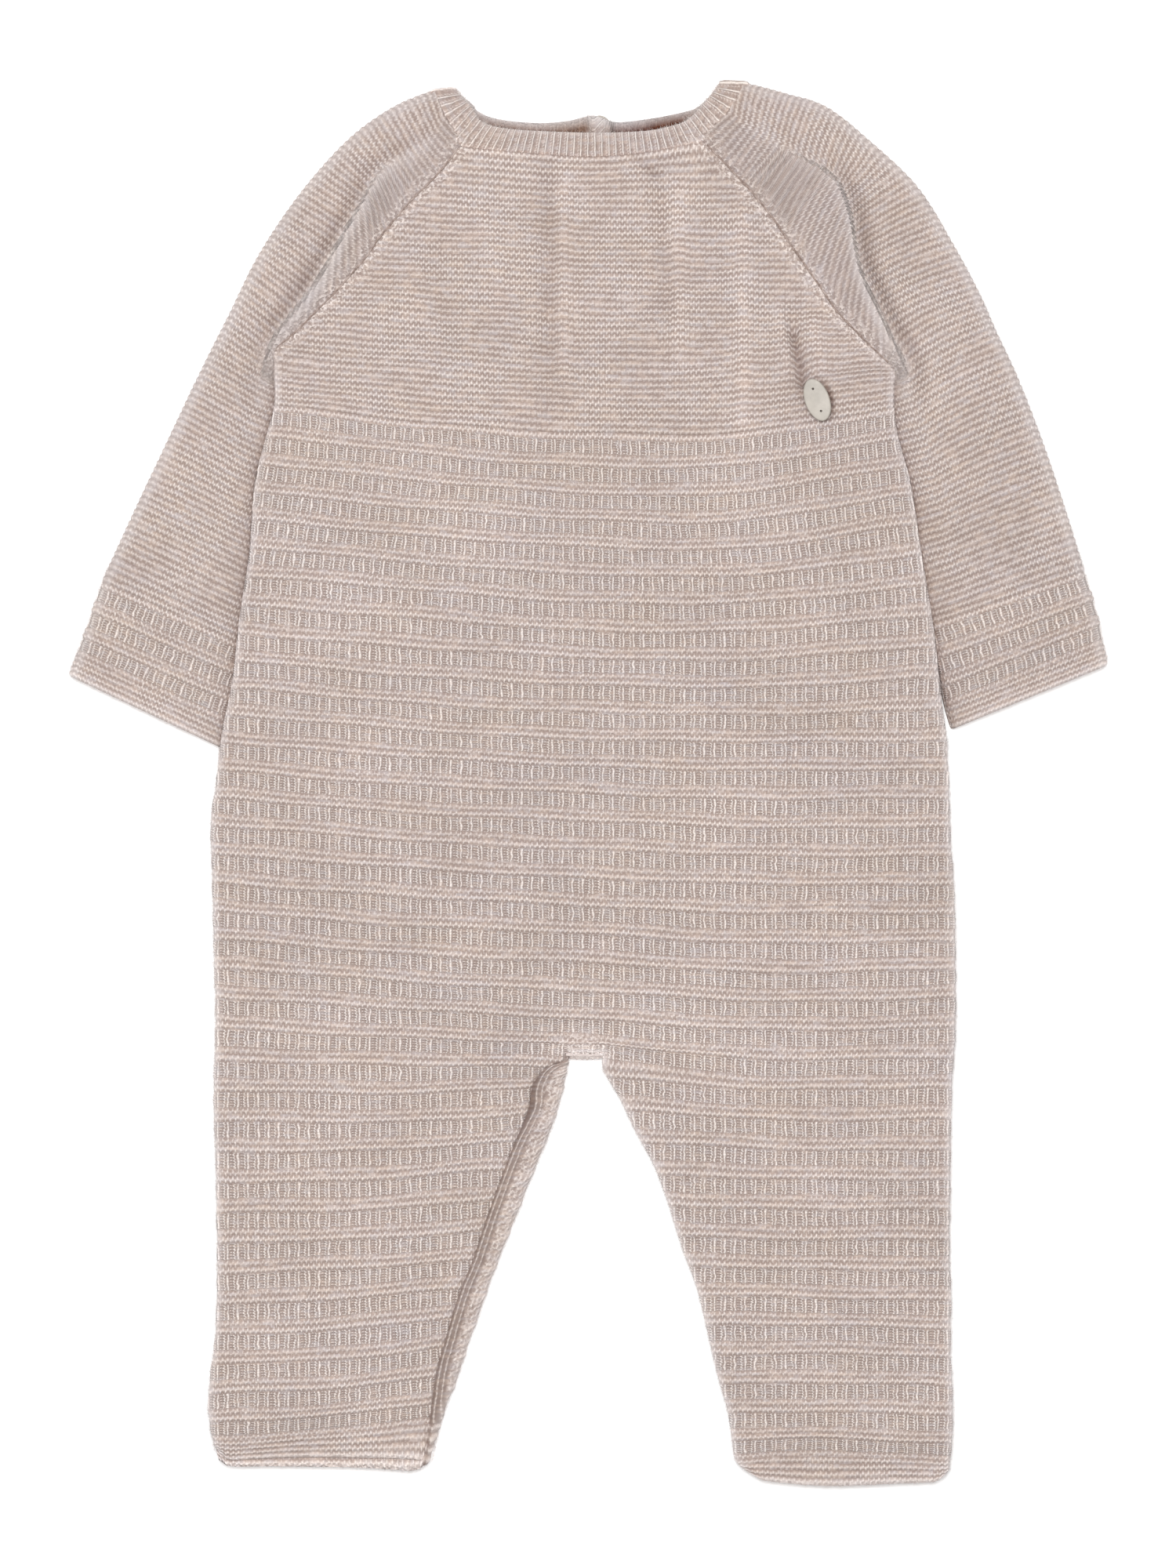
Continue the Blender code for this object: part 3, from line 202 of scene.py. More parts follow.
# Inner leg edges. The right leg has rolled: its front ends at a seam short of the fold.
INSEAM_RIGHT_FRONT = table(
    "y x",
    (-85.0, -6.4), (-87.7, -6.4), (-92.3, -6.5), (-94.7, -7.6), (-96.4, -12.4), (-102.1, -18.1),
    (-111.5, -20.3), (-124.3, -25.3), (-137.9, -30.4), (-152.3, -35.5), (-162.1, -38.7),
    (-174.1, -43.5), (-190.7, -48.5), (-198.4, -50.7), (-211.2, -52.8), (-221.3, -54.1),
    (-230.9, -55.7))
INSEAM_RIGHT_FOLD = table(
    "y x",
    (-85.0, -6.4), (-87.7, -6.4), (-92.3, -6.4), (-96.5, -6.9), (-107.2, -9.1), (-117.9, -12.5),
    (-128.5, -16.8), (-139.2, -21.1), (-149.9, -25.3), (-160.5, -29.6), (-171.2, -33.6),
    (-181.9, -37.3), (-192.5, -41.1), (-203.2, -44.5), (-213.9, -48.8), (-224.5, -51.6),
    (-232.0, -53.2))
INSEAM_LEFT = table(
    "y x",
    (-85.0, 6.4), (-87.7, 6.4), (-92.3, 5.1), (-97.6, 5.1), (-101.9, 7.5), (-107.2, 10.7),
    (-117.9, 15.7), (-128.5, 21.6), (-139.2, 25.9), (-149.9, 29.3), (-160.5, 32.8), (-171.2, 36.8),
    (-181.9, 39.5), (-192.5, 41.9), (-203.2, 44.5), (-213.9, 47.5), (-224.5, 49.1), (-230.4, 50.1),
    (-233.9, 52.3), (-237.1, 55.5))

# Sleeves, from the neck to the cuff: the fold along the top of the arm, the crease and the height
# of the inner edge, which follows the body's edge at a seam's gap plus what it stands off there.
RIGHT_SLEEVE_ROWS = table(
    "row fold_x fold_y crease_x crease_y inner_y stand_off crease_lift",
    (0, -52.5, 236.0, -48.8, 227.2, 219.2, 0, 0), (1, -65.9, 230.4, -56.5, 217.1, 208.3, 0, 1.0),
    (2, -81.1, 219.7, -70.1, 208.8, 195.2, 0, 2.0), (3, -97.1, 202.1, -79.7, 193.3, 180.3, 0, 2.6),
    (4, -111.7, 180.8, -93.4, 169.6, 164.0, 0, 3.0), (5, -122.4, 159.5, -107.6, 150.4, 147.9, 0, 2.0),
    (6, -133.1, 138.1, -113.3, 129.1, 126.4, 0.1, 0.4), (7, -143.2, 116.8, -119.7, 106.1, 102.9, 0.25, 0),
    (8, -153.3, 95.5, -122.7, 82.1, 78.4, 0.25, 0), (9, -162.0, 76.6, -126.7, 60.1, 56.3, 0, 0),
    (10, -165.6, 68.5, -127.5, 51.5, 47.5, 0, 0), (11, -168.5, 60.0, -129.0, 42.5, 38.7, 0, 0),
    (12, -171.5, 51.2, -131.0, 33.5, 29.9, 0, 0), (13, -174.4, 43.7, -133.0, 24.5, 20.3, 0, 0),
    (14, -177.1, 36.5, -134.5, 16.3, 12.0, 0.4, 0))
LEFT_SLEEVE_ROWS = table(
    "row fold_x fold_y crease_x crease_y inner_y stand_off crease_lift",
    (0, 53.6, 238.4, 47.5, 228.3, 219.9, 0, 0), (1, 67.5, 234.7, 58.7, 221.3, 208.0, 0, 0.2),
    (2, 81.3, 230.1, 69.9, 214.7, 198.9, 0, 0.5), (3, 95.7, 218.9, 83.7, 206.4, 185.3, 0, 1.3),
    (4, 112.3, 202.9, 89.1, 194.4, 172.3, 0, 2.4), (5, 124.3, 183.7, 92.5, 175.7, 160.0, 0, 3.0),
    (6, 133.3, 166.9, 99.9, 158.7, 149.6, 0, 3.0), (7, 139.2, 153.6, 107.5, 143.2, 140.3, 0, 2.2),
    (8, 146.4, 138.1, 111.5, 125.9, 123.5, 0.1, 0.4), (9, 154.7, 116.8, 117.5, 103.7, 101.3, 0.3, 0),
    (10, 161.9, 95.5, 121.5, 81.3, 78.7, 0.25, 0), (11, 166.9, 79.5, 125.0, 64.3, 61.3, 0, 0),
    (12, 169.1, 72.0, 126.5, 57.0, 53.9, 0.4, 0), (13, 171.7, 63.7, 128.0, 47.5, 44.3, 0.6, 0),
    (14, 173.9, 55.5, 129.5, 38.0, 34.5, 1.2, 0), (15, 175.7, 47.2, 131.5, 29.5, 26.1, 2.1, 0),
    (16, 177.1, 40.0, 133.0, 21.8, 18.3, 3.2, 0))
CUFF_BANDS = 3
CREASE_SHARE = 0.45
CREASE_FALL = 0.075

# Neckband, from one end at the middle of the back, round the wearer's right shoulder, across the
# front and round to the other end. turn is 0 on the front, 1 on the back, between them in a fold.
BAND_STATIONS = table(
    "station seam_x seam_y neck_x neck_y turn seam_lift neck_lift",
    (0, 8.3, 211.9, 8.3, 224.7, 1, 0, 0), (1, 4.0, 211.9, 3.0, 226.6, 1, 0, 0),
    (2, -1.0, 211.8, -0.4, 226.6, 1, 0, 0), (3, -7.0, 211.9, -6.4, 225.2, 1, 0, 0),
    (4, -15.7, 212.6, -15.7, 224.5, 1, 0, 0), (5, -27.0, 214.3, -25.9, 225.1, 1, 0, 0),
    (6, -36.0, 216.0, -33.0, 226.4, 1, 0, 0), (7, -42.6, 218.2, -37.6, 228.5, 1, 0, 0),
    (8, -45.2, 223.0, -39.6, 231.0, 1, 0, 0), (9, -49.4, 231.0, -43.6, 234.2, 1, 0, 0),
    (10, -51.2, 234.2, -44.4, 235.0, 1, 0, 0), (11, -51.2, 234.2, -44.4, 235.0, 0.5, 0, 0),
    (12, -51.2, 234.2, -44.4, 235.0, 0, 0, 0), (13, -49.4, 231.0, -42.6, 233.0, 0, 0, 0),
    (14, -45.2, 223.0, -39.3, 229.4, 0, 0.1, 0.2), (15, -42.6, 218.2, -36.9, 225.4, 0, 0.15, 0.6),
    (16, -36.5, 216.1, -32.0, 223.2, 0, 0.4, 1.4), (17, -24.0, 214.9, -22.0, 221.8, 0, 0.8, 2.3),
    (18, 1.3, 213.4, 1.3, 220.9, 0, 1.0, 2.7), (19, 20.0, 215.0, 19.0, 221.5, 0, 0.8, 2.3),
    (20, 31.0, 217.0, 28.5, 223.3, 0, 0.4, 1.4), (21, 38.0, 219.4, 33.8, 225.5, 0, 0.15, 0.6),
    (22, 42.4, 224.3, 38.0, 229.5, 0, 0.1, 0.2), (23, 47.0, 228.7, 41.0, 232.9, 0, 0, 0),
    (24, 52.0, 236.9, 44.2, 237.3, 0, 0, 0), (25, 52.0, 236.9, 44.2, 237.3, 0.5, 0, 0),
    (26, 52.0, 236.9, 44.2, 237.3, 1, 0, 0), (27, 47.0, 228.7, 41.5, 233.6, 1, 0, 0),
    (28, 42.4, 224.3, 39.0, 231.2, 1, 0, 0), (29, 38.0, 219.4, 36.0, 229.2, 1, 0, 0),
    (30, 31.0, 216.1, 30.0, 227.6, 1, 0, 0), (31, 22.7, 214.0, 22.7, 226.2, 1, 0, 0),
    (32, 13.0, 212.4, 13.0, 224.9, 1, 0, 0), (33, 8.0, 211.9, 8.0, 224.8, 1, 0, 0),
    (34, 4.0, 211.9, 3.2, 226.5, 1, 0, 0), (35, -0.3, 211.9, -0.3, 226.4, 1, 0, 0))
BACK_NECK_ROW = table(
    "across y",
    (-1.0, 216.3), (-0.8, 214.7), (-0.5, 212.6), (-0.1, 211.4), (0.1, 211.3), (0.5, 212.7),
    (0.8, 215.3), (1.0, 218.1))
SHOULDER_LEAN = math.radians(20.0)

# Soft folds of the front: where each runs, its half width, and its rise (a trough is below 0).
FRONT_FOLDS = table(
    "x0 y0 x1 y1 half_width rise",
    (-13, 208, -12, 124, 5.5, -0.9), (24, 208, 30, 152, 5.0, -0.8), (70, 160, 73, 132, 3.6, -1.3),
    (88, 150, 80, 110, 6.0, 0.8), (-62, 168, -30, 132, 10.0, 0.7), (-88, 120, -40, 84, 13.0, 0.5),
    (50, 96, 84, 44, 12.0, 0.6), (-98, 40, -58, -14, 14.0, 0.6), (30, 0, 84, -34, 15.0, 0.5),
    (-8, -76, -46, -50, 7.0, 0.8), (10, -78, 52, -60, 7.5, 0.8), (-104, -132, -70, -168, 12.0, 0.7),
    (60, -128, 98, -170, 12.0, 0.7), (-112, -196, -80, -214, 9.0, 0.5), (70, -204, 104, -222, 9.0, 0.5))

# Narrower creases of the yoke and body, in the same columns.
FINE_CREASES = table(
    "x0 y0 x1 y1 half_width rise",
    (-13.5, 206, -13, 150, 2.8, -0.5), (-8.6, 206, -8.4, 140, 2.4, 0.7),
    (24.5, 200, 28, 160, 2.6, -0.5), (30.5, 200, 31, 150, 3.2, 0.8),
    (15.0, 213.5, 23.5, 206.5, 1.6, -1.3), (70.0, 153, 73.0, 137.5, 1.7, -2.3),
    (77.0, 156, 79.0, 141, 2.8, 0.7), (65.3, 160, 68.3, 140, 2.0, 0.6),
    (52.5, 192, 53.0, 120, 3.2, 0.8), (-36, 190, -30, 160, 4.0, 0.35),
    (-52, 178, -46, 150, 4.0, -0.35))


# ---- what a user may change ---------------------------------------------------------------------
class KnitSizes(bpy.types.PropertyGroup):
    """Sizes of the stitches."""

    stitch_width: bpy.props.FloatProperty(
        name="Stitch width", description="Width of one garter stitch", default=0.0018,
        min=0.001, max=0.004, unit="LENGTH")
    ridge_rise: bpy.props.FloatProperty(
        name="Ridge height", description="Height of a garter ridge over the lines between",
        default=0.0005, min=0.0, max=0.001, unit="LENGTH")
    rib_pitch: bpy.props.FloatProperty(
        name="Rib pitch", description="Width of one knit and one purl wale of the bands",
        default=0.00345, min=0.002, max=0.006, unit="LENGTH")
    rib_rise: bpy.props.FloatProperty(
        name="Rib height", description="Height of a knit wale over the purl wales beside it",
        default=0.00045, min=0.0, max=0.001, unit="LENGTH")
    welt_rise: bpy.props.FloatProperty(
        name="Welt height", description="Height of the two ridges of a welt over the bands",
        default=0.0006, min=0.0, max=0.001, unit="LENGTH")


class YarnColours(bpy.types.PropertyGroup):
    """Colours of the yarn and the buttons."""

    # Crest and hollow are a lit and a shaded copy of one yarn: a painted highlight on the raised loops
    # and painted shade between them.
    crest: bpy.props.FloatVectorProperty(
        name="Stitch crests", description="Colour of the raised yarn", subtype="COLOR",
        default=(0.880, 0.790, 0.740), min=0.0, max=1.0)
    shaded_hollow: bpy.props.FloatVectorProperty(
        name="Stitch hollows", description="Colour between the stitches", subtype="COLOR",
        default=(0.335, 0.258, 0.230), min=0.0, max=1.0)
    cool_fleck: bpy.props.FloatVectorProperty(
        name="Cool flecks", description="Grey lilac fibres of the melange", subtype="COLOR",
        default=(0.600, 0.560, 0.575), min=0.0, max=1.0)
    warm_fleck: bpy.props.FloatVectorProperty(
        name="Warm flecks", description="Peach fibres of the melange", subtype="COLOR",
        default=(0.700, 0.560, 0.475), min=0.0, max=1.0)
    button: bpy.props.FloatVectorProperty(
        name="Buttons", description="Colour of the buttons", subtype="COLOR",
        default=(0.425, 0.388, 0.342), min=0.0, max=1.0)


class StageLight(bpy.types.PropertyGroup):
    """The floor and the light."""

    floor: bpy.props.FloatVectorProperty(
        name="Floor", description="Colour of the floor", subtype="COLOR",
        default=(0.985, 0.985, 0.985), min=0.0, max=1.0)
    lamp_power: bpy.props.FloatProperty(
        name="Lamp power", description="Power of the soft lamp overhead", default=23.5,
        min=0.0, unit="POWER")
    surround: bpy.props.FloatProperty(
        name="Surround", description="Strength of the light from all round", default=0.45, min=0.0)


# ---- smooth curves through a table --------------------------------------------------------------
def slope_matrix(knots):
    """Turns values at the knots into slopes there, as an average of the two sides."""
    count = len(knots)
    slopes = np.zeros((count, count))
    for i in range(count):
        before = max(i - 1, 0)
        after = min(i + 1, count - 1)
        for low in range(before, after):
            share = 1.0 / (after - before)
            step = knots[low + 1] - knots[low]
            slopes[i, low] -= share / step
            slopes[i, low + 1] += share / step
    return slopes


def curve_weights(knots, places):
    """Weights of the knots' values for a smooth curve, one row for each place."""
    forward = knots if knots[-1] > knots[0] else knots[::-1]
    places = np.clip(np.atleast_1d(np.asarray(places, float)), forward[0], forward[-1])
    cell = np.clip(np.searchsorted(forward, places, side="right") - 1, 0, len(forward) - 2)
    step = forward[cell + 1] - forward[cell]
    t = (places - forward[cell]) / step
    slopes = slope_matrix(forward)
    weights = (t ** 3 - 2 * t ** 2 + t)[:, None] * step[:, None] * slopes[cell]
    weights += (t ** 3 - t ** 2)[:, None] * step[:, None] * slopes[cell + 1]
    here = np.arange(len(places))
    weights[here, cell] += 2 * t ** 3 - 3 * t ** 2 + 1
    weights[here, cell + 1] += 3 * t ** 2 - 2 * t ** 3
    return weights if knots[-1] > knots[0] else weights[:, ::-1]


def read(rows, name, key, places):
    """The table's named column, read smoothly at places along its key column."""
    return curve_weights(rows[key], places) @ rows[name]


def edge_x(edge, y):
    """How far across an edge lies at a height."""
    return read(edge, "x", "y", y)


def ease(value):
    """0 below 0, 1 above 1, and a smooth step between."""
    t = np.clip(value, 0.0, 1.0)
    return t * t * (3 - 2 * t)


def bell(value, width, power=2):
    """1 at 0, falling away to either side over this width."""
    return np.exp(-(value / width) ** power)


def seam_shift(edge, y, gap):
    """How far sideways a piece moves from an edge curve to leave this gap square to it."""
    slope = edge_x(edge, y + 0.5) - edge_x(edge, y - 0.5)
    return gap * np.sqrt(1 + slope ** 2)


def overhang(y, height):
    """How far in from the body's upper edge its side lies at a height, beside a sleeve."""
    grown = ease((EDGE_LEFT["y"][ARMPIT_ROW] - y) / SLANT_START)
    return EDGE_SLANT * grown * np.clip(1 - height / (2 * MID_HEIGHT - EDGE_THINNING), 0, 1)


# ---- plan of the front and back -----------------------------------------------------------------
def body_at(x, course):
    """Plan place of a row's point at x, kept inside the body's edges, and the two edges there."""
    names = ("right_y", "right_mid_y", "centre_y", "left_mid_y", "left_y")
    heights = np.stack([read(BODY_ROWS, name, "course", course) for name in names], axis=1)
    right_x = edge_x(EDGE_RIGHT, heights[:, 0])
    left_x = edge_x(EDGE_LEFT, heights[:, 4])
    x = np.clip(x, right_x, left_x)
    across = np.where(x < 0, -x / right_x, x / left_x)
    weights = curve_weights(np.array([-1, -MID_ACROSS, 0, MID_ACROSS, 1.0]), across)
    return x, np.sum(weights * heights, axis=1), across


def leg_at(x, column, course, rows, outer_edge, inner_edge, side, reach=0.0):
    """The same in one leg: x is kept outside its inner edge, and its first column lies on it."""
    outer_y = read(rows, "outer_y", "course", course)
    mid_y = read(rows, "mid_y", "course", course)
    inner_y = read(rows, "inner_y", "course", course)
    outer_x = edge_x(outer_edge, outer_y)
    inner_x = edge_x(inner_edge, inner_y)
    inner_x = inner_x + side * reach * ease((course - CROTCH_COURSE) / ROLL_TURNED)
    parted = course >= CROTCH_COURSE - 1e-6
    beyond = np.abs(column) > CROTCH_COLUMN + 0.01
    first = np.abs(np.abs(column) - CROTCH_COLUMN) < 0.01
    held = np.where(beyond, np.maximum(side * x, side * inner_x),
                    np.minimum(side * x, side * inner_x))
    held = np.where(first, side * inner_x, held)
    x = side * np.where(parted, held, side * x)
    x = side * np.minimum(side * x, side * outer_x)
    from_inner = np.clip((x - inner_x) / (outer_x - inner_x), 0, 1)
    weights = curve_weights(np.array([0, MID_ACROSS, 1.0]), from_inner)
    y = weights[:, 0] * inner_y + weights[:, 1] * mid_y + weights[:, 2] * outer_y
    across = side * (LEG_SPLIT + (1 - LEG_SPLIT) * from_inner)
    return x, y, across, outer_x, inner_x


def panel_at(x, column, course, right_inseam, reach=0.0):
    """Plan place in the front or back: x, y, the place across, and the way in from its edges."""
    body_x, body_y, across = body_at(x, np.minimum(course, BODY_ROWS["course"][-1]))
    in_leg = course > BODY_ROWS["course"][-1]
    right = leg_at(x, column, course, RIGHT_LEG_ROWS, EDGE_RIGHT, right_inseam, -1, reach)
    left = leg_at(x, column, course, LEFT_LEG_ROWS, EDGE_LEFT, INSEAM_LEFT, 1)
    leg = [np.where(column < 0, a, b) for a, b in zip(right, left)]
    x = np.where(in_leg, leg[0], body_x)
    y = np.where(in_leg, leg[1], body_y)
    across = np.where(in_leg, leg[2], across)
    side_x = np.where(x < 0, edge_x(EDGE_RIGHT, y), edge_x(EDGE_LEFT, y))
    from_edge = np.abs(np.where(in_leg, leg[3], side_x) - x)
    parted = course >= CROTCH_COURSE - 1e-6
    from_inner = np.where(parted, np.abs(x - leg[4]), FAR)
    above = np.maximum(CROTCH_COURSE - course, 0) * COURSE_HEIGHT
    from_inner = np.where(~parted & (np.abs(x) < CROTCH_COLUMN) & in_leg, above, from_inner)
    return x, y, across, np.minimum(from_edge, from_inner)


def fold_rise(x, y, folds=FRONT_FOLDS):
    """Height that a table's soft folds add at a plan place."""
    rise = np.zeros_like(x)
    for i in range(len(folds["x0"])):
        dx = folds["x1"][i] - folds["x0"][i]
        dy = folds["y1"][i] - folds["y0"][i]
        length = math.hypot(dx, dy)
        along = ((x - folds["x0"][i]) * dx + (y - folds["y0"][i]) * dy) / length
        beside = ((x - folds["x0"][i]) * dy - (y - folds["y0"][i]) * dx) / length
        beyond = np.maximum(np.maximum(-along, along - length), 0)
        width = folds["half_width"][i]
        rise += folds["rise"][i] * np.exp(-(beside / width) ** 2 - (beyond / (1.6 * width)) ** 2)
    return rise


def front_lift(across, course, x, y):
    """How far the front stands above its resting level: puffed, folded, and down at its seams."""
    wide = np.where(course > CROTCH_COURSE, LEG_WIDTH, BODY_HALF_WIDTH)
    side = 1 - bell((1 - np.abs(across)) * wide, PUFF_EDGE)
    from_inseam = np.maximum(np.abs(across) - LEG_SPLIT, 0) * wide
    parted = ease((course - PARTING_COURSE) / (CROTCH_COURSE - PARTING_COURSE))
    inseam = 1 - parted * bell(from_inseam, PUFF_INSEAM)
    from_neck = ease((course - NECK_COURSE) / 2.5)
    level = NECK_LIFT * (1 - across ** 2) * (1 - from_neck) + PUFF * side * from_neck
    folds = fold_rise(x, y) + 0.6 * fold_rise(x, y, FINE_CREASES)
    pressed = 1 - 0.85 * hem_share(course)
    return np.maximum(level * inseam + folds * side * inseam * from_neck, 0) * pressed


def wander(x, course, from_edge, shift=0.0):
    """How far a row strays up or down as it runs across, in another way for another shift."""
    there = course + shift
    stray = 0.22 * np.sin(x / 8.3 + 2.1 * there) + 0.2 * np.sin(x / 21.0 - 1.3 * there + 1.0)
    return stray * ease(from_edge / 8) * ease((course - NECK_COURSE) / 1.5)


def slanted_side(x, across, y, z, from_edge):
    """x with the body's sides drawn in, as they lie over or under the sleeves at a height."""
    beside = (from_edge < 0.02) & (np.abs(across) > 0.9)
    return x - np.where(beside, np.sign(across) * overhang(y, z), 0)


def above_hem(course, hem=HEM_COURSE):
    """How far, in mm, a row lies above its hem."""
    return (hem - course) * COURSE_HEIGHT


def edge_drop(from_edge):
    """How far the cloth's outside rounds down at a cut or sewn edge."""
    return EDGE_THINNING * np.clip(1 - from_edge / EDGE_ROUND, 0, 1) ** 2


def hem_share(course):
    """0 above a leg's garter border, 1 at its hem."""
    return ease((course - BORDER_COURSE) / (HEM_COURSE - BORDER_COURSE))


def corner_rise(course, from_edge):
    """How far a hem's rounded corner is drawn up at this distance from the side."""
    return CORNER_RISE * hem_share(course) * bell(from_edge, CORNER_REACH)


def lip_drop(course, hem=HEM_COURSE):
    """The share by which a hem has rounded down: 0 above its lip, 1 at its edge."""
    return np.clip(1 - above_hem(course, hem) / HEM_LIP, 0, 1) ** 2


def scallop(across, y, course, from_edge):
    """How far the sides swell at a band and draw in at its welts, below the sleeves."""
    below = ease((SCALLOP_TOP - y) / 12.0) * (np.abs(across) > 0.5)
    swell = SCALLOP * below * bell(from_edge, 2.5)
    uneven = course + 0.12 * np.sin(course * 2.3)
    return -np.sign(across) * swell * (0.5 + 0.5 * np.cos(TURN * uneven))


def face_radius(outside, relief):
    """How far a cloth face lies from the axis of its fold."""
    return FOLD_RADIUS + (WALL / 2 + relief if outside else -WALL / 2 - relief)


def cloth_height(turn, outside, lift, relief):
    """Height of a cloth face: turn 0 is the front, 1 the back, between them a fold."""
    return MID_HEIGHT + face_radius(outside, relief) * np.cos(math.pi * turn) + lift


# ---- relief of the stitches ---------------------------------------------------------------------
def sizes():
    """The user's stitch sizes, in mm."""
    made = bpy.context.scene.romper_knit
    return {name: getattr(made, name) / MM for name in KnitSizes.__annotations__}


def garter_relief(ridge, stitch, size):
    """Garter ridges with their bumps: ridge counts down the cloth, stitch along the row."""
    phase = ridge - np.floor(ridge)
    bumps = 1 + 0.7 * np.cos(TURN * stitch) * np.cos(math.pi * phase)
    return size["ridge_rise"] * (np.sin(math.pi * phase) * bumps - 0.4)


def rib_relief(repeat, size):
    """Cross-section of the ribs: the knit wale is narrow and round, the purl wale wide."""
    crest = (0.5 + 0.5 * np.cos(TURN * (repeat - RIB_CREST))) ** 1.3
    return size["rib_rise"] * (crest - 0.55)


def welt_relief(course, repeat, size):
    """The two garter ridges of a welt round each whole course, with a groove between."""
    from_middle = course - np.round(course)
    part = np.clip(np.abs(from_middle) / WELT_HALF, 0, 1)
    ridges = size["welt_rise"] * np.sin(math.pi * part) ** 2
    own = np.where(from_middle < 0, np.cos(TURN * (repeat + 0.2)), np.cos(2 * TURN * repeat))
    ridges = ridges * (0.95 + 0.16 * own)
    return ridges + WELT_GROOVE * ease(1 - 2 * part)


def banded_relief(course, repeat, size, last=BORDER_COURSE - 0.5):
    """Rib bands with their welts; there is none in the first half course or after last."""
    from_middle = np.abs(course - np.round(course))
    is_welt = (course > 0.5) & (course < last)
    welt = np.where(is_welt, welt_relief(course, repeat, size), 0)
    ribs = rib_relief(repeat, size) * np.where(is_welt, ease((from_middle - 0.15) / 0.12), 1)
    return welt + ribs


def border_ridge(course):
    """Garter ridges from where a leg's border starts down to a row."""
    return (course - BORDER_COURSE) * BORDER_RIDGES


def border_share(course):
    """0 above a leg's garter border, 1 in it."""
    return ease((course - BORDER_COURSE) / 0.03 + 0.5)


def rib_pitch_at(course, size):
    """The ribs lie a little closer just under the yoke."""
    return size["rib_pitch"] - 0.25 * (1 - ease(course / 8))


# ---- meshes -------------------------------------------------------------------------------------
COARSE = 4                    # cells of the outside to one of the plain inside, each way


def mesh_of(name, bm):
    """A mesh of what bm holds, and bm emptied for the next."""
    mesh = bpy.data.meshes.new(name)
    bm.to_mesh(mesh)
    bm.clear()
    return mesh


def numbers_of(items, key, each=1, kind=np.int32):
    """One property of all these vertices, corners or faces, as an array."""
    values = np.empty(each * len(items), kind)
    items.foreach_get(key, values)
    return values


def give_numbers(items, key, values):
    """Sets one property of all these from an array."""
    items.foreach_set(key, values.astype(np.float32).ravel())


def put(name, data):
    """A new object in the scene."""
    made = bpy.data.objects.new(name, data)
    bpy.context.scene.collection.objects.link(made)
    return made


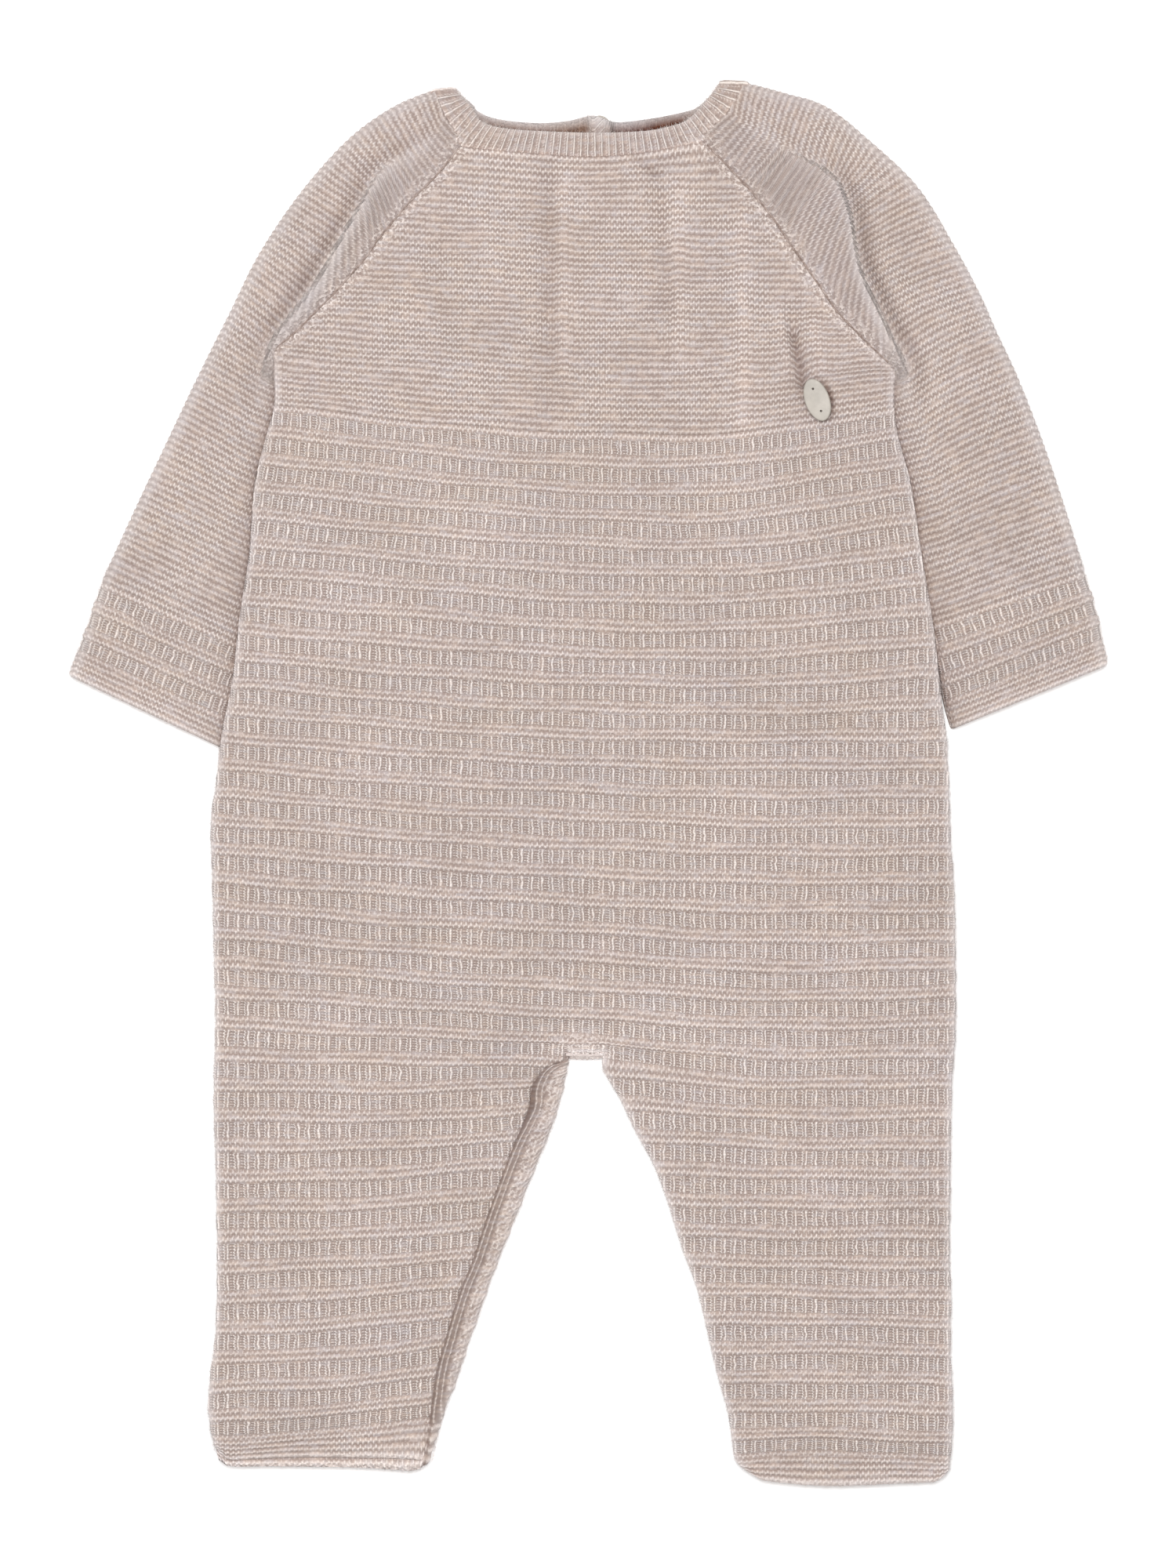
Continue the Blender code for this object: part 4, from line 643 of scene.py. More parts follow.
def knit_shell(name, columns, rows, place, stitches, finishes, starts=(), shade_marks=None, gone=None,
               joined=()):
    """A thin closed wall of cloth as one mesh, with its outside fine and its inside plain.

    columns and rows hold what place understands, each a multiple of COARSE cells long. place gives
    the points, in mm, and stitches the pattern's place in a zone. There is a zone for each finish,
    and starts holds the rows where the later ones begin. shade_marks gives the painted shade and light
    of the yarn, its mottle and its grey (brushed nap at edges, a painted highlight on creases), gone
    the coarse cells that are left out, and joined the end rows that go on in the next piece.
    """
    columns, rows = np.asarray(columns, float), np.asarray(rows, float)
    last_column, last_row = len(columns) - 1, len(rows) - 1
    bm = bmesh.new()
    bmesh.ops.create_grid(bm, x_segments=last_column // COARSE, y_segments=last_row // COARSE,
                          size=0.5)
    bmesh.ops.translate(bm, vec=(0.5, 0.5, 0), verts=bm.verts)
    bmesh.ops.scale(bm, vec=(last_column, last_row, 1), verts=bm.verts)
    if gone:
        unwanted = []
        for face in bm.faces:
            middle = face.calc_center_median()
            column = columns[int(middle.x)] + columns[int(middle.x) + 1]
            if gone(column / 2, (rows[int(middle.y)] + rows[int(middle.y) + 1]) / 2):
                unwanted.append(face)
        bmesh.ops.delete(bm, geom=unwanted, context="FACES")
    made = bmesh.ops.extrude_face_region(bm, geom=bm.faces[:], use_keep_orig=True)
    outer = [item for item in made["geom"] if isinstance(item, bmesh.types.BMVert)]
    bmesh.ops.translate(bm, vec=(0, 0, 1), verts=outer)
    outer_edges = [edge for edge in bm.edges if min(vert.co.z for vert in edge.verts) > 0.5]
    bmesh.ops.subdivide_edges(bm, edges=outer_edges, cuts=COARSE - 1, use_grid_fill=True)
    ends = {"first": 0, "last": last_row}
    for end in joined:
        for edge in bm.edges:
            if all(abs(vert.co.y - ends[end]) < 0.1 for vert in edge.verts):
                edge.smooth = False
    mesh = mesh_of(name, bm)

    grid = numbers_of(mesh.vertices, "co", 3, np.float32).reshape(-1, 3)
    column = columns[np.rint(grid[:, 0]).astype(int)]
    row = rows[np.rint(grid[:, 1]).astype(int)]
    points = np.empty((len(grid), 3))
    for outside in (False, True):
        chosen = (grid[:, 2] > 0.5) == outside
        points[chosen] = np.stack(place(column[chosen], row[chosen], outside), axis=1)
    give_numbers(mesh.vertices, "co", points * MM)

    corner = numbers_of(mesh.loops, "vertex_index")
    total = numbers_of(mesh.polygons, "loop_total")
    face_row = np.add.reduceat(row[corner], numbers_of(mesh.polygons, "loop_start")) / total
    zone = np.searchsorted(starts, face_row).astype(np.int32)
    mesh.polygons.foreach_set("material_index", zone)
    corner_zone = np.repeat(zone, total)
    pattern = np.zeros((len(corner), 2))
    for number in range(len(finishes)):
        chosen = corner[corner_zone == number]
        if len(chosen):
            across, down = stitches(number, column[chosen], row[chosen], points[chosen])
            pattern[corner_zone == number] = np.stack([across, down], axis=1)
    give_numbers(mesh.uv_layers.new(name="stitches").uv, "vector", pattern)
    # Painted shade and light, mottle and grey of each point.
    tone = np.stack(shade_marks(column, row, points), axis=1) if shade_marks else np.zeros((len(grid), 3))
    give_numbers(mesh.attributes.new("painted_shade_marks", "FLOAT_VECTOR", "POINT").data, "vector", tone)

    bm.from_mesh(mesh)
    bmesh.ops.remove_doubles(bm, verts=bm.verts, dist=0.01 * MM)
    flat = {edge for face in bm.faces if face.calc_area() < 1e-12 for edge in face.edges}
    bmesh.ops.dissolve_degenerate(bm, dist=0.004 * MM, edges=list(flat))
    bmesh.ops.recalc_face_normals(bm, faces=bm.faces)
    if bm.calc_volume(signed=True) < 0:
        bmesh.ops.reverse_faces(bm, faces=bm.faces)
    bm.to_mesh(mesh)
    bm.free()
    mesh.shade_smooth()
    return add_piece(name, mesh, [finish_named(finish) for finish in finishes])


def add_piece(name, mesh, finishes):
    """Puts a finished mesh in the scene as a piece of the garment."""
    for finish in finishes:
        mesh.materials.append(finish)
    made = put(name, mesh)
    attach(made, "root")
    return made


def padded_rows(rows):
    """The rows, with halfway ones added in the widest gaps until COARSE divides their cells."""
    rows = list(rows)
    while (len(rows) - 1) % COARSE:
        widest = max(range(len(rows) - 1), key=lambda i: rows[i + 1] - rows[i])
        rows.insert(widest + 1, (rows[widest] + rows[widest + 1]) / 2)
    return np.array(rows)


# ---- finishes -----------------------------------------------------------------------------------
class Finish:
    """One procedural finish and the maths that draws its pattern."""

    def __init__(self, name):
        self.material = bpy.data.materials.new(name)
        self.material.use_nodes = True
        self.tree = self.material.node_tree
        self.shader = self.tree.nodes["Principled BSDF"]
        self.body = self.node("ShaderNodeTexCoord").outputs["Object"]

    def node(self, kind, settings=None, **inputs):
        """A node with its settings, and its inputs set or linked by name."""
        made = self.tree.nodes.new(kind)
        for key, value in (settings or {}).items():
            setattr(made, key, value)
        self.give(made, **inputs)
        return made

    def give(self, node, **inputs):
        """Sets or links a node's inputs by name."""
        for key, value in inputs.items():
            self.feed(node.inputs[key.replace("_", " ")], value)

    def feed(self, socket, value):
        """Links a socket, or sets its number or colour."""
        if isinstance(value, bpy.types.NodeSocket):
            self.tree.links.new(value, socket)
        else:
            socket.default_value = value

    def maths(self, operation, *values, clamp=False):
        """One sum or function of numbers."""
        made = self.tree.nodes.new("ShaderNodeMath")
        made.operation = operation
        made.use_clamp = clamp
        for socket, value in zip(made.inputs, values):
            self.feed(socket, value)
        return made.outputs[0]

    def chain(self, operation, first, *others):
        """One operation over two or more numbers in turn."""
        for value in others:
            first = self.maths(operation, first, value)
        return first

    def add(self, *values):
        """Sum of two or more numbers."""
        return self.chain("ADD", *values)

    def times(self, *values):
        """Product of two or more numbers."""
        return self.chain("MULTIPLY", *values)

    def highest(self, *values):
        """The highest of two or more numbers."""
        return self.chain("MAXIMUM", *values)

    def scaled(self, value, by, plus, clamp=False):
        """A number times by, plus another."""
        return self.maths("MULTIPLY_ADD", value, by, plus, clamp=clamp)

    def wave(self, value, shift=0.0):
        """Cosine with a period of 1."""
        return self.maths("COSINE", self.scaled(value, TURN, shift * TURN))

    def bell(self, value, width):
        """A bump of this half width round 0."""
        part = self.maths("DIVIDE", value, width)
        return self.maths("EXPONENT", self.times(part, part, -1.0))

    def centred(self, value):
        """Distance from the nearest whole number, with its sign."""
        return self.maths("SUBTRACT", value, self.maths("ROUND", value))

    def step(self, value, low, high):
        """0 below low, 1 above high, smooth between; high may be the lower."""
        start, end = (1.0, 0.0) if high < low else (0.0, 1.0)
        made = self.node("ShaderNodeMapRange", {"interpolation_type": "SMOOTHSTEP"}, Value=value,
                         From_Min=min(low, high), From_Max=max(low, high), To_Min=start, To_Max=end)
        return made.outputs["Result"]

    def noise(self, place, scale, detail=2.0, roughness=0.5):
        """Soft noise from 0 to 1 at a place."""
        made = self.node("ShaderNodeTexNoise", {"noise_dimensions": "3D"}, Vector=place, Scale=scale,
                         Detail=detail, Roughness=roughness)
        return made.outputs[0]

    def moved(self, place, x, y, z):
        """A place shifted, so that noise there is another noise."""
        return self.node("ShaderNodeMapping", Vector=place, Location=(x, y, z)).outputs[0]

    def blend_number(self, share, first, second):
        """A number part way between two."""
        return self.add(self.times(first, 1.0 - share), self.times(second, share))

    def blend(self, share, first, second, kind="MIX"):
        """A colour between two, or two colours mixed in another way."""
        made = self.node("ShaderNodeMix", {"data_type": "RGBA", "blend_type": kind})
        self.feed(made.inputs["Factor"], share)
        colours = [socket for socket in made.inputs if socket.type == "RGBA"]
        for socket, colour in zip(colours, (first, second)):
            self.feed(socket, colour)
        return [socket for socket in made.outputs if socket.type == "RGBA"][0]

    def point(self, x, y, z=0.0):
        """A place from three numbers."""
        made = self.node("ShaderNodeCombineXYZ")
        for socket, value in zip(made.inputs, (x, y, z)):
            self.feed(socket, value)
        return made.outputs[0]

    def bumps(self, height, strength, depth):
        """Raises the surface with a height, this deep in mm."""
        made = self.node("ShaderNodeBump", Strength=strength, Distance=depth * MM, Height=height)
        self.give(self.shader, Normal=made.outputs["Normal"])


def garter_height(finish, stitch, ridge, depth=0.17, still=0.55, groove=0.10):
    """Height of the garter bumps: a zigzag of two rows of loops in each ridge, and a line between."""
    lively = finish.noise(finish.moved(finish.body, 0.1, 0.4, 0.3), 60.0, 2.0)
    lively = finish.step(lively, 0.36, 0.62)
    swing = finish.times(finish.wave(stitch), finish.scaled(lively, 1.15 - still, still))
    lean = finish.wave(stitch, -0.25)
    down = finish.centred(finish.add(ridge, finish.times(swing, depth), -0.5))
    band = finish.bell(down, 0.28)
    line = finish.bell(finish.centred(finish.add(ridge, finish.times(swing, 0.8 * depth))), 0.09)
    loops = finish.scaled(finish.times(swing, swing), 0.44, 0.46)
    loops = finish.add(loops, finish.times(finish.maths("MAXIMUM", lean, 0.0), -0.20))
    return finish.scaled(line, -groove, finish.times(band, loops))


def fine_garter_height(finish, stitch, ridge):
    """The same with straighter rows."""
    return garter_height(finish, stitch, ridge, 0.14)


RIB_STRAND = 0.108            # half width of one strand of a rib, in repeats
PURL_PLACE = 0.31             # where in a repeat the purl loops lie


def banded_height(finish, repeat, course):
    """Height of the ribs' two strands and the purl loops beside them, and of the welts."""
    from_welt = finish.centred(course)
    ridge = finish.scaled(from_welt, 1 / WELT_HALF, 1.0)
    loops = garter_height(finish, finish.times(repeat, 2.0), ridge, 0.19, 0.80, 0.09)
    arches = finish.scaled(finish.wave(repeat, 0.2), 0.20, 0.76)
    upper = finish.maths("LESS_THAN", ridge, 1.0)
    arched = finish.times(finish.maths("SUBTRACT", arches, 1.0), upper)
    loops = finish.scaled(finish.times(loops, finish.add(arched, 1.0)), 1.02, 0.01)

    rows = finish.times(course, STITCH_ROWS)
    number = finish.maths("ROUND", repeat)
    own = finish.point(finish.times(number, 7.3), finish.times(course, 1.3))
    own = finish.noise(own, 1.0, 1.0)
    sway = finish.wave(finish.add(finish.times(course, 1.7), finish.times(own, 3.0)))
    placed = finish.add(repeat, finish.times(sway, 0.035))
    rung = finish.wave(rows)
    strand = finish.bell(finish.centred(placed), RIB_STRAND)
    strand = finish.times(strand, finish.scaled(rung, 0.20, 1.02))
    leaning = finish.scaled(finish.wave(rows, 0.25), 0.06, 0.375)
    second = finish.bell(finish.centred(finish.add(placed, leaning)), RIB_STRAND)
    second = finish.times(second, finish.scaled(rung, 0.30, 0.89))
    purl = finish.bell(finish.centred(finish.add(placed, -PURL_PLACE)), 0.12)
    arcs = finish.wave(finish.add(rows, finish.times(finish.wave(repeat, -PURL_PLACE), 0.3)))
    purl = finish.times(purl, finish.scaled(arcs, 0.38, 0.26))
    ribs = finish.times(finish.highest(strand, second, purl), finish.scaled(own, 1.4, 0.62))
    ribs = finish.add(ribs, -0.15)
    away = finish.maths("ABSOLUTE", from_welt)
    ribs = finish.times(ribs, finish.step(away, 0.232, 0.262))
    in_welt = finish.step(away, 0.25, 0.225)
    keep = finish.maths("SUBTRACT", 1.0, in_welt)
    return finish.add(finish.times(loops, in_welt), finish.times(ribs, keep))


def turned_seam_height(finish, away, course):
    """Height of a seam turned outwards, in mm from it: two chains, then loops slanting to the fold."""
    beads = finish.wave(finish.times(course, 5.4))
    first = finish.times(finish.bell(finish.add(away, -ROLL_CHAINS[0]), 0.36),
                         finish.scaled(beads, 0.22, 0.66))
    second = finish.times(finish.bell(finish.add(away, -ROLL_CHAINS[1]), 0.36),
                          finish.scaled(beads, -0.22, 0.62))
    slanted = finish.add(finish.times(course, 4.2), finish.times(away, 0.32))
    slanted = finish.add(slanted, finish.times(finish.noise(finish.body, 260.0, 2.0), 1.6))
    loops = finish.times(finish.scaled(finish.wave(slanted), 0.30, 0.50),
                         finish.scaled(finish.wave(finish.times(away, 0.6)), 0.30, 0.75))
    loops = finish.times(loops, finish.step(away, 3.7, 4.5))
    welt = finish.bell(finish.centred(finish.add(course, finish.times(away, ROLL_SLANT))), 0.10)
    loops = finish.add(loops, finish.times(welt, finish.step(away, 4.2, 5.2), 0.30))
    return finish.add(finish.highest(first, second, loops), -0.14)


def neck_height(finish, repeat, across):
    """Height of the neckband's narrow ribs, which run into a round edge."""
    rows = finish.times(across, NECK_ROWS)
    strand = finish.bell(finish.centred(repeat), 0.12)
    leaning = finish.scaled(finish.wave(rows, 0.25), 0.05, 0.36)
    second = finish.bell(finish.centred(finish.add(repeat, leaning)), 0.11)
    second = finish.times(second, finish.scaled(finish.wave(rows), 0.22, 0.42))
    return finish.highest(strand, second)


NAP_AND_HIGHLIGHT_GREY = (0.70, 0.655, 0.650)   # the grey of brushed fibres that stand off an edge, and a painted highlight along folds and creases


def shaded(colour, share=1.0):
    """A colour lighter or darker by a share, as a shader takes it."""
    return (*[min(1.0, value * share) for value in colour], 1.0)


def knit_finish(name, height_of, tint, rows, run, slack):
    """A melange yarn knitted to a pattern: colour with painted shade and highlights, flecks, fuzz and the
    bumps of the loops.

    rows is the knitted rows in one unit of the pattern down, run the flecks' lengths in one across,
    and slack how far loops stray in the pattern's units.
    """
    colours = bpy.context.scene.romper_yarn
    finish = Finish(name)
    body = finish.body
    grid = finish.node("ShaderNodeUVMap", {"uv_map": "stitches"}).outputs["UV"]
    split = finish.node("ShaderNodeSeparateXYZ", Vector=grid)
    across, down = split.outputs["X"], split.outputs["Y"]
    shade_marks = finish.node("ShaderNodeAttribute", {"attribute_name": "painted_shade_marks"}).outputs["Vector"]
    shade_marks = finish.node("ShaderNodeSeparateXYZ", Vector=shade_marks)
    shade, mottle, grey = shade_marks.outputs

    stray = finish.noise(body, 420.0, 2.0)
    stray_down = finish.noise(finish.moved(body, 0.3, 0.1, 0.2), 330.0, 2.0)
    loose = finish.times(finish.scaled(stray, slack[0], -slack[0] / 2), finish.add(1.0, mottle))
    loose_down = finish.times(finish.scaled(stray_down, slack[1], -slack[1] / 2),
                              finish.scaled(mottle, 6.0, 1.0))
    height = height_of(finish, finish.add(across, loose), finish.add(down, loose_down))
    knots = finish.step(finish.noise(finish.moved(body, 0.7, 0.2, 0.0), 900.0, 1.0), 0.40, 0.66)
    height = finish.add(finish.times(height, finish.scaled(mottle, -0.6, 1.0)),
                        finish.times(knots, mottle, 0.7))

    row = finish.maths("FLOOR", finish.times(down, rows))
    strands = finish.point(finish.times(across, run), finish.times(row, 3.7))
    cool = finish.step(finish.noise(strands, 1.0, 3.0, 0.6), 0.48, 0.66)
    warm = finish.noise(finish.moved(strands, 31.0, 17.0, 5.0), 1.0, 3.0, 0.6)
    warm = finish.step(warm, 0.48, 0.66)
    fuzz = finish.noise(body, 1700.0, 3.0, 0.7)
    cloudy = finish.noise(body, 30.0, 3.0)
    single = finish.point(finish.times(across, 0.06), finish.times(finish.maths("FLOOR", down), 5.3))
    uneven = finish.noise(single, 1.0, 1.0)

    # The loops' crests take a painted highlight and their hollows painted shade.
    lit = finish.scaled(height, 0.95, finish.scaled(fuzz, 1.15, -0.60), clamp=True)
    colour = finish.blend(lit, shaded(colours.shaded_hollow, tint), shaded(colours.crest, tint))
    colour = finish.blend(finish.times(cool, 0.32), colour, shaded(colours.cool_fleck, tint))
    colour = finish.blend(finish.times(warm, 0.30), colour, shaded(colours.warm_fleck, tint))
    colour = finish.blend(grey, colour, shaded(NAP_AND_HIGHLIGHT_GREY))
    # Painted shade and light from the marks darken or lighten the yarn and make its shade browner; the
    # pattern's hollows take more painted shade; the cloudy and row noise is the melange's own uneven
    # tone.
    dark = finish.maths("SUBTRACT", finish.scaled(cloudy, 0.20, 0.85), shade)
    dark = finish.add(dark, finish.times(uneven, 0.10), finish.maths("MINIMUM", height, 0.0))
    warmer = finish.scaled(finish.maths("MAXIMUM", shade, 0.0), -0.18, dark)
    patches = finish.add(finish.noise(finish.moved(body, 0.4, 0.9, 0.1), 55.0, 2.0), uneven, -1.0)
    bluish = finish.scaled(patches, 0.07, warmer)
    reddish = finish.scaled(patches, -0.03, dark)
    tone = finish.node("ShaderNodeCombineColor")
    for socket, value in zip(tone.inputs, (reddish, finish.blend_number(0.75, dark, warmer), bluish)):
        finish.feed(socket, value)
    finish.bumps(finish.add(height, finish.times(fuzz, 0.35)), 1.0, 0.32)
    finish.give(finish.shader, Base_Color=finish.blend(1.0, colour, tone.outputs[0], "MULTIPLY"),
                Roughness=finish.scaled(fuzz, 0.16, 0.80), Specular_IOR_Level=0.12,
                Sheen_Weight=0.12, Sheen_Roughness=0.5, Sheen_Tint=(1.0, 0.96, 0.94, 1.0))
    return finish.material


def button_finish(name, colour):
    """Pale matt resin with a faint cloud and fine wear."""
    finish = Finish(name)
    cloud = finish.step(finish.noise(finish.body, 190.0, 3.0), 0.3, 0.7)
    wear = finish.noise(finish.body, 1500.0, 3.0, 0.6)
    finish.give(finish.shader, Roughness=finish.scaled(wear, 0.25, 0.36),
                Base_Color=finish.blend(cloud, shaded(colour, 0.90), shaded(colour, 1.12)))
    finish.bumps(wear, 0.25, 0.05)
    return finish.material


# Each knit finish: its pattern, its tint, which darkens some pieces' yarn a little, partly as painted
# shade, the rows and fleck lengths in its unit, and its slack.
FINISH_PATTERNS = {
    "garter_knit": (garter_height, 0.975, 2.0, 0.32, (0.42, 0.24)),
    "banded_rib_knit": (banded_height, 1.0, STITCH_ROWS, 0.60, (0.34, 0.04)),
    "sleeve_garter_knit": (fine_garter_height, 0.965, 2.0, 0.32, (0.42, 0.24)),
    "turned_seam_knit": (turned_seam_height, 0.97, STITCH_ROWS, 0.16, (0.9, 0.05)),
    "neck_rib_knit": (neck_height, 1.0, NECK_ROWS, 0.45, (0.24, 0.05))}


def finish_named(name):
    """A knit finish, made once."""
    if name not in bpy.data.materials:
        knit_finish(name, *FINISH_PATTERNS[name])
    return bpy.data.materials[name]


# ---- front --------------------------------------------------------------------------------------
RIB_COLUMN_PLACES = (RIB_CREST, 0.08, 0.345, 0.61)
RIB_REPEATS = 38              # rib repeats to each side of the middle
COURSE_ROWS = (0.0, 0.06, 0.12, 0.18, 0.24, 0.37, 0.5, 0.63, 0.76, 0.82, 0.88, 0.94)
BORDER_PLACES = np.arange(17) / 16
BORDER_ROWS = list(BORDER_COURSE + BORDER_PLACES)
YOKE_RIDGES = int(-NECK_COURSE * RIDGES_PER_COURSE)
RIDGE_ROWS = 4                # rows of the mesh to one garter ridge
YOKE_HALF_STITCHES = (-124, 121)    # the front yoke's columns, from right to left
RAGLAN_DRAWN = 0.45           # how much less a sewn raglan edge rounds down than a free one
CROTCH_SPOT = (-1.5, -89.5)   # where the inner leg seams meet


def rib_columns():
    """Columns of a banded panel in rib repeats, four to each."""
    places = [number + place for number in range(-RIB_REPEATS, RIB_REPEATS)
              for place in RIB_COLUMN_PLACES]
    return np.array(places + [RIB_REPEATS + RIB_CREST])


def front_place(x, column, course, outside, relief):
    """A point of the front at this place, with this relief of its stitches."""
    x, y, across, from_edge = panel_at(x, column, course, INSEAM_RIGHT_FRONT)
    lip = lip_drop(course)
    stray = wander(x, course, from_edge)
    sewn = 1 - RAGLAN_DRAWN * ease((y - ARMPIT_Y) / 8)
    relief = relief * ease(from_edge / RELIEF_FADE) - sewn * edge_drop(from_edge) - HEM_ROUNDING * lip
    lift = front_lift(across, course, x, y) - 0.25 * lip
    z = cloth_height(0, outside, lift, relief if outside else 0)
    x = slanted_side(x, across, y, z, from_edge)
    rise = corner_rise(course, from_edge) * np.where(across > 0, 0.55, across < -0.5)
    bend = fold_rise(x, y, FINE_CREASES) * ease((course - NECK_COURSE) / 2.0) * (course < -0.3)
    return x + scallop(across, y, course, from_edge), y + stray + rise + 0.9 * bend, z


def front_shade_marks(x, column, course):
    """Painted shade and light of the front, grey nap at its edges, and the mottled loops beside its
    raglan seams.
    """
    x, y, across, from_edge = panel_at(x, column, course, INSEAM_RIGHT_FRONT)
    raglan = ease((y - ARMPIT_Y) / 10) * (course > NECK_COURSE - 1) * (np.abs(across) > 0.3)
    seam = bell(from_edge, 0.9)
    # Painted shade in the folds' troughs and along the raglan and inner leg seams, painted light on the
    # folds' crests.
    shade = -0.045 * fold_rise(x, y) - 0.13 * fold_rise(x, y, FINE_CREASES) + 0.10 * raglan * seam
    inseam = (course > CROTCH_COURSE) & (np.abs(across) < 0.5) & (x < 0)
    shade = shade + 0.05 * inseam * seam
    # Painted light at the hem, along the free edges and over the border, where the cloth rounds into
    # shade; a little lighter down the legs.
    to_hem = above_hem(course)
    free = (1 - raglan) * (1 - inseam)
    shade = shade - 0.34 * bell(to_hem, 1.3) - 0.12 * free * bell(from_edge, 1.6)
    shade = shade - 0.07 * ease((course - BORDER_COURSE) / 0.3) - 0.045 * ease((course - 14) / 10)
    # The painted shadow of the oval button.
    shade = shade + button_shadow(x, y)
    # Grey nap at the free edges and the hem.
    grey = 0.45 * free * bell(from_edge, 1.7) + 0.30 * bell(to_hem, 1.8)
    # Painted light over the crotch and along the neck seam, where the cloth meets other pieces in shade.
    crotch = bell(x - CROTCH_SPOT[0], 10.0) * bell(y - CROTCH_SPOT[1], 4.0)
    mottle = raglan * bell(from_edge, 4.6, 4) + 0.7 * crotch + 0.75 * bell(to_hem, 0.9)
    joined = bell(y - 190.0, 400.0) * bell((course - NECK_COURSE) * COURSE_HEIGHT, 1.1)
    return shade - 0.12 * crotch - 0.12 * joined, np.clip(mottle, 0, 1), np.clip(grey, 0, 1)


def back_shade_marks(x, column, course):
    """Painted light of the back: lighter and grey at its edges, and lighter inside its hems, which lie in
    shade.
    """
    from_edge = panel_at(x, column, course, INSEAM_RIGHT_FOLD)[3]
    to_hem = above_hem(course)
    # Painted light at the edges, with grey nap there, and inside the hems, which lie in the shade of the
    # front's lip.
    edge = bell(from_edge, 1.7) * (course > NECK_COURSE + 1)
    rim = bell(to_hem, 0.8)
    hem = 0.20 * bell(to_hem, 5.0) + 0.40 * rim
    return -0.10 * edge - hem, 0.6 * rim, np.clip(0.35 * edge + 0.30 * rim, 0, 1)


def button_shadow(x, y):
    """The shade of the oval button on the cloth round it, deepest on its upper left side."""
    across, along = x - BUTTON_X, y - BUTTON_Y
    turned = (across * math.cos(BUTTON_TURN) + along * math.sin(BUTTON_TURN),
              -across * math.sin(BUTTON_TURN) + along * math.cos(BUTTON_TURN))
    reach = np.hypot(turned[0] / (BUTTON_LENGTH / 2), turned[1] / (BUTTON_WIDTH / 2))
    side = (across + 0.3 * along) / np.maximum(np.hypot(across, along), 0.01)
    return 0.62 * bell(reach - 1.08, 0.26) * (0.10 + 0.90 * np.clip(side, 0, 1) ** 1.5)


def yoke_panel(name, columns, place_on, shade_marks_on=None, gone=None):
    """A panel of garter stitch, from the neck seam down to the first rib band."""
    size = sizes()

    def course_of(ridge):
        return NECK_COURSE + ridge / RIDGES_PER_COURSE

    def place(x, ridge, outside):
        relief = garter_relief(ridge, x / size["stitch_width"], size) if outside else 0 * x
        return place_on(x, x, course_of(ridge), outside, relief)

    def stitches(zone, x, ridge, points):
        return points[:, 0] / size["stitch_width"], ridge

    def shade_marks(x, ridge, points):
        return shade_marks_on(x, x, course_of(ridge))

    rows = np.arange(YOKE_RIDGES * RIDGE_ROWS + 1) / RIDGE_ROWS
    return knit_shell(name, columns, rows, place, stitches, ("garter_knit",), (),
                      shade_marks_on and shade_marks, gone, ("last",))


def front_yoke():
    """The garter yoke of the front."""
    columns = np.arange(*YOKE_HALF_STITCHES) * (sizes()["stitch_width"] / 2)
    return yoke_panel("front_yoke", columns, front_place, front_shade_marks)


def banded_panel(name, rows, place_on, shade_marks_on, joined):
    """A panel of rib bands, with the garter border of a hem where its rows reach one."""
    size = sizes()

    def place_in_row(repeat, course):
        column = np.round(repeat - RIB_CREST, 4) * size["rib_pitch"]
        return (repeat - 0.5) * rib_pitch_at(course, size), column

    def place(repeat, course, outside):
        x, column = place_in_row(repeat, course)
        relief = 0 * x
        if outside:
            border = garter_relief(border_ridge(course), x / size["stitch_width"], size)
            begun = ease(course / 0.12)
            bands = banded_relief(course, repeat, size) * begun + (1 - begun) * -0.2
            relief = bands + (border - bands) * border_share(course)
        return place_on(x, column, course, outside, relief)

    def stitches(zone, repeat, course, points):
        if zone == 0:
            return points[:, 0] / rib_pitch_at(course, size) + 0.5, course
        return points[:, 0] / size["stitch_width"], border_ridge(course)

    def shade_marks(repeat, course, points):
        return shade_marks_on(*place_in_row(repeat, course), course)

    def below_crotch(repeat, course):
        across = abs(repeat - RIB_CREST) * size["rib_pitch"]
        return course > CROTCH_COURSE and across < CROTCH_COLUMN

    return knit_shell(name, rib_columns(), padded_rows(rows), place, stitches,
                      ("banded_rib_knit", "garter_knit"), (BORDER_COURSE,), shade_marks, below_crotch,
                      joined)


def course_rows(start, end, parts):
    """Rows of whole courses from start to end, and the row where the crotch is."""
    rows = [course + part for course in range(int(start), int(end)) for part in parts] + [end]
    if start < CROTCH_COURSE < end:
        rows = sorted([row for row in rows if abs(row - CROTCH_COURSE) > 0.03] + [CROTCH_COURSE])
        count = rows.index(CROTCH_COURSE)
        upper = padded_rows(rows[:count + 1])
        return np.concatenate([upper, padded_rows(rows[count:])[1:]])
    return padded_rows(rows)


def banded_pieces(side, place_on, shade_marks_on, parts):
    """The upper body, and the lower body with both legs, of the front or the back."""
    upper = banded_panel(side + "_body", course_rows(0, SPLIT_COURSE, parts), place_on, shade_marks_on,
                         ("first", "last"))
    rows = np.concatenate([course_rows(SPLIT_COURSE, BORDER_COURSE, parts), BORDER_ROWS[1:]])
    return upper, banded_panel(side + "_legs", rows, place_on, shade_marks_on, ("first",))


def front_pieces():
    """The front: yoke, upper body, and lower body with both legs."""
    upper, lower = banded_pieces("front", front_place, front_shade_marks, COURSE_ROWS)
    return front_yoke(), upper, lower


# ---- back ---------------------------------------------------------------------------------------
BACK_COURSE_ROWS = (0.0, 0.12, 0.24, 0.5, 0.763, 0.88)
BACK_YOKE_SIDES = (-111.6, 108.4)
SINK = 0.75                   # how far the resting side's stitches lie in from its flat underside


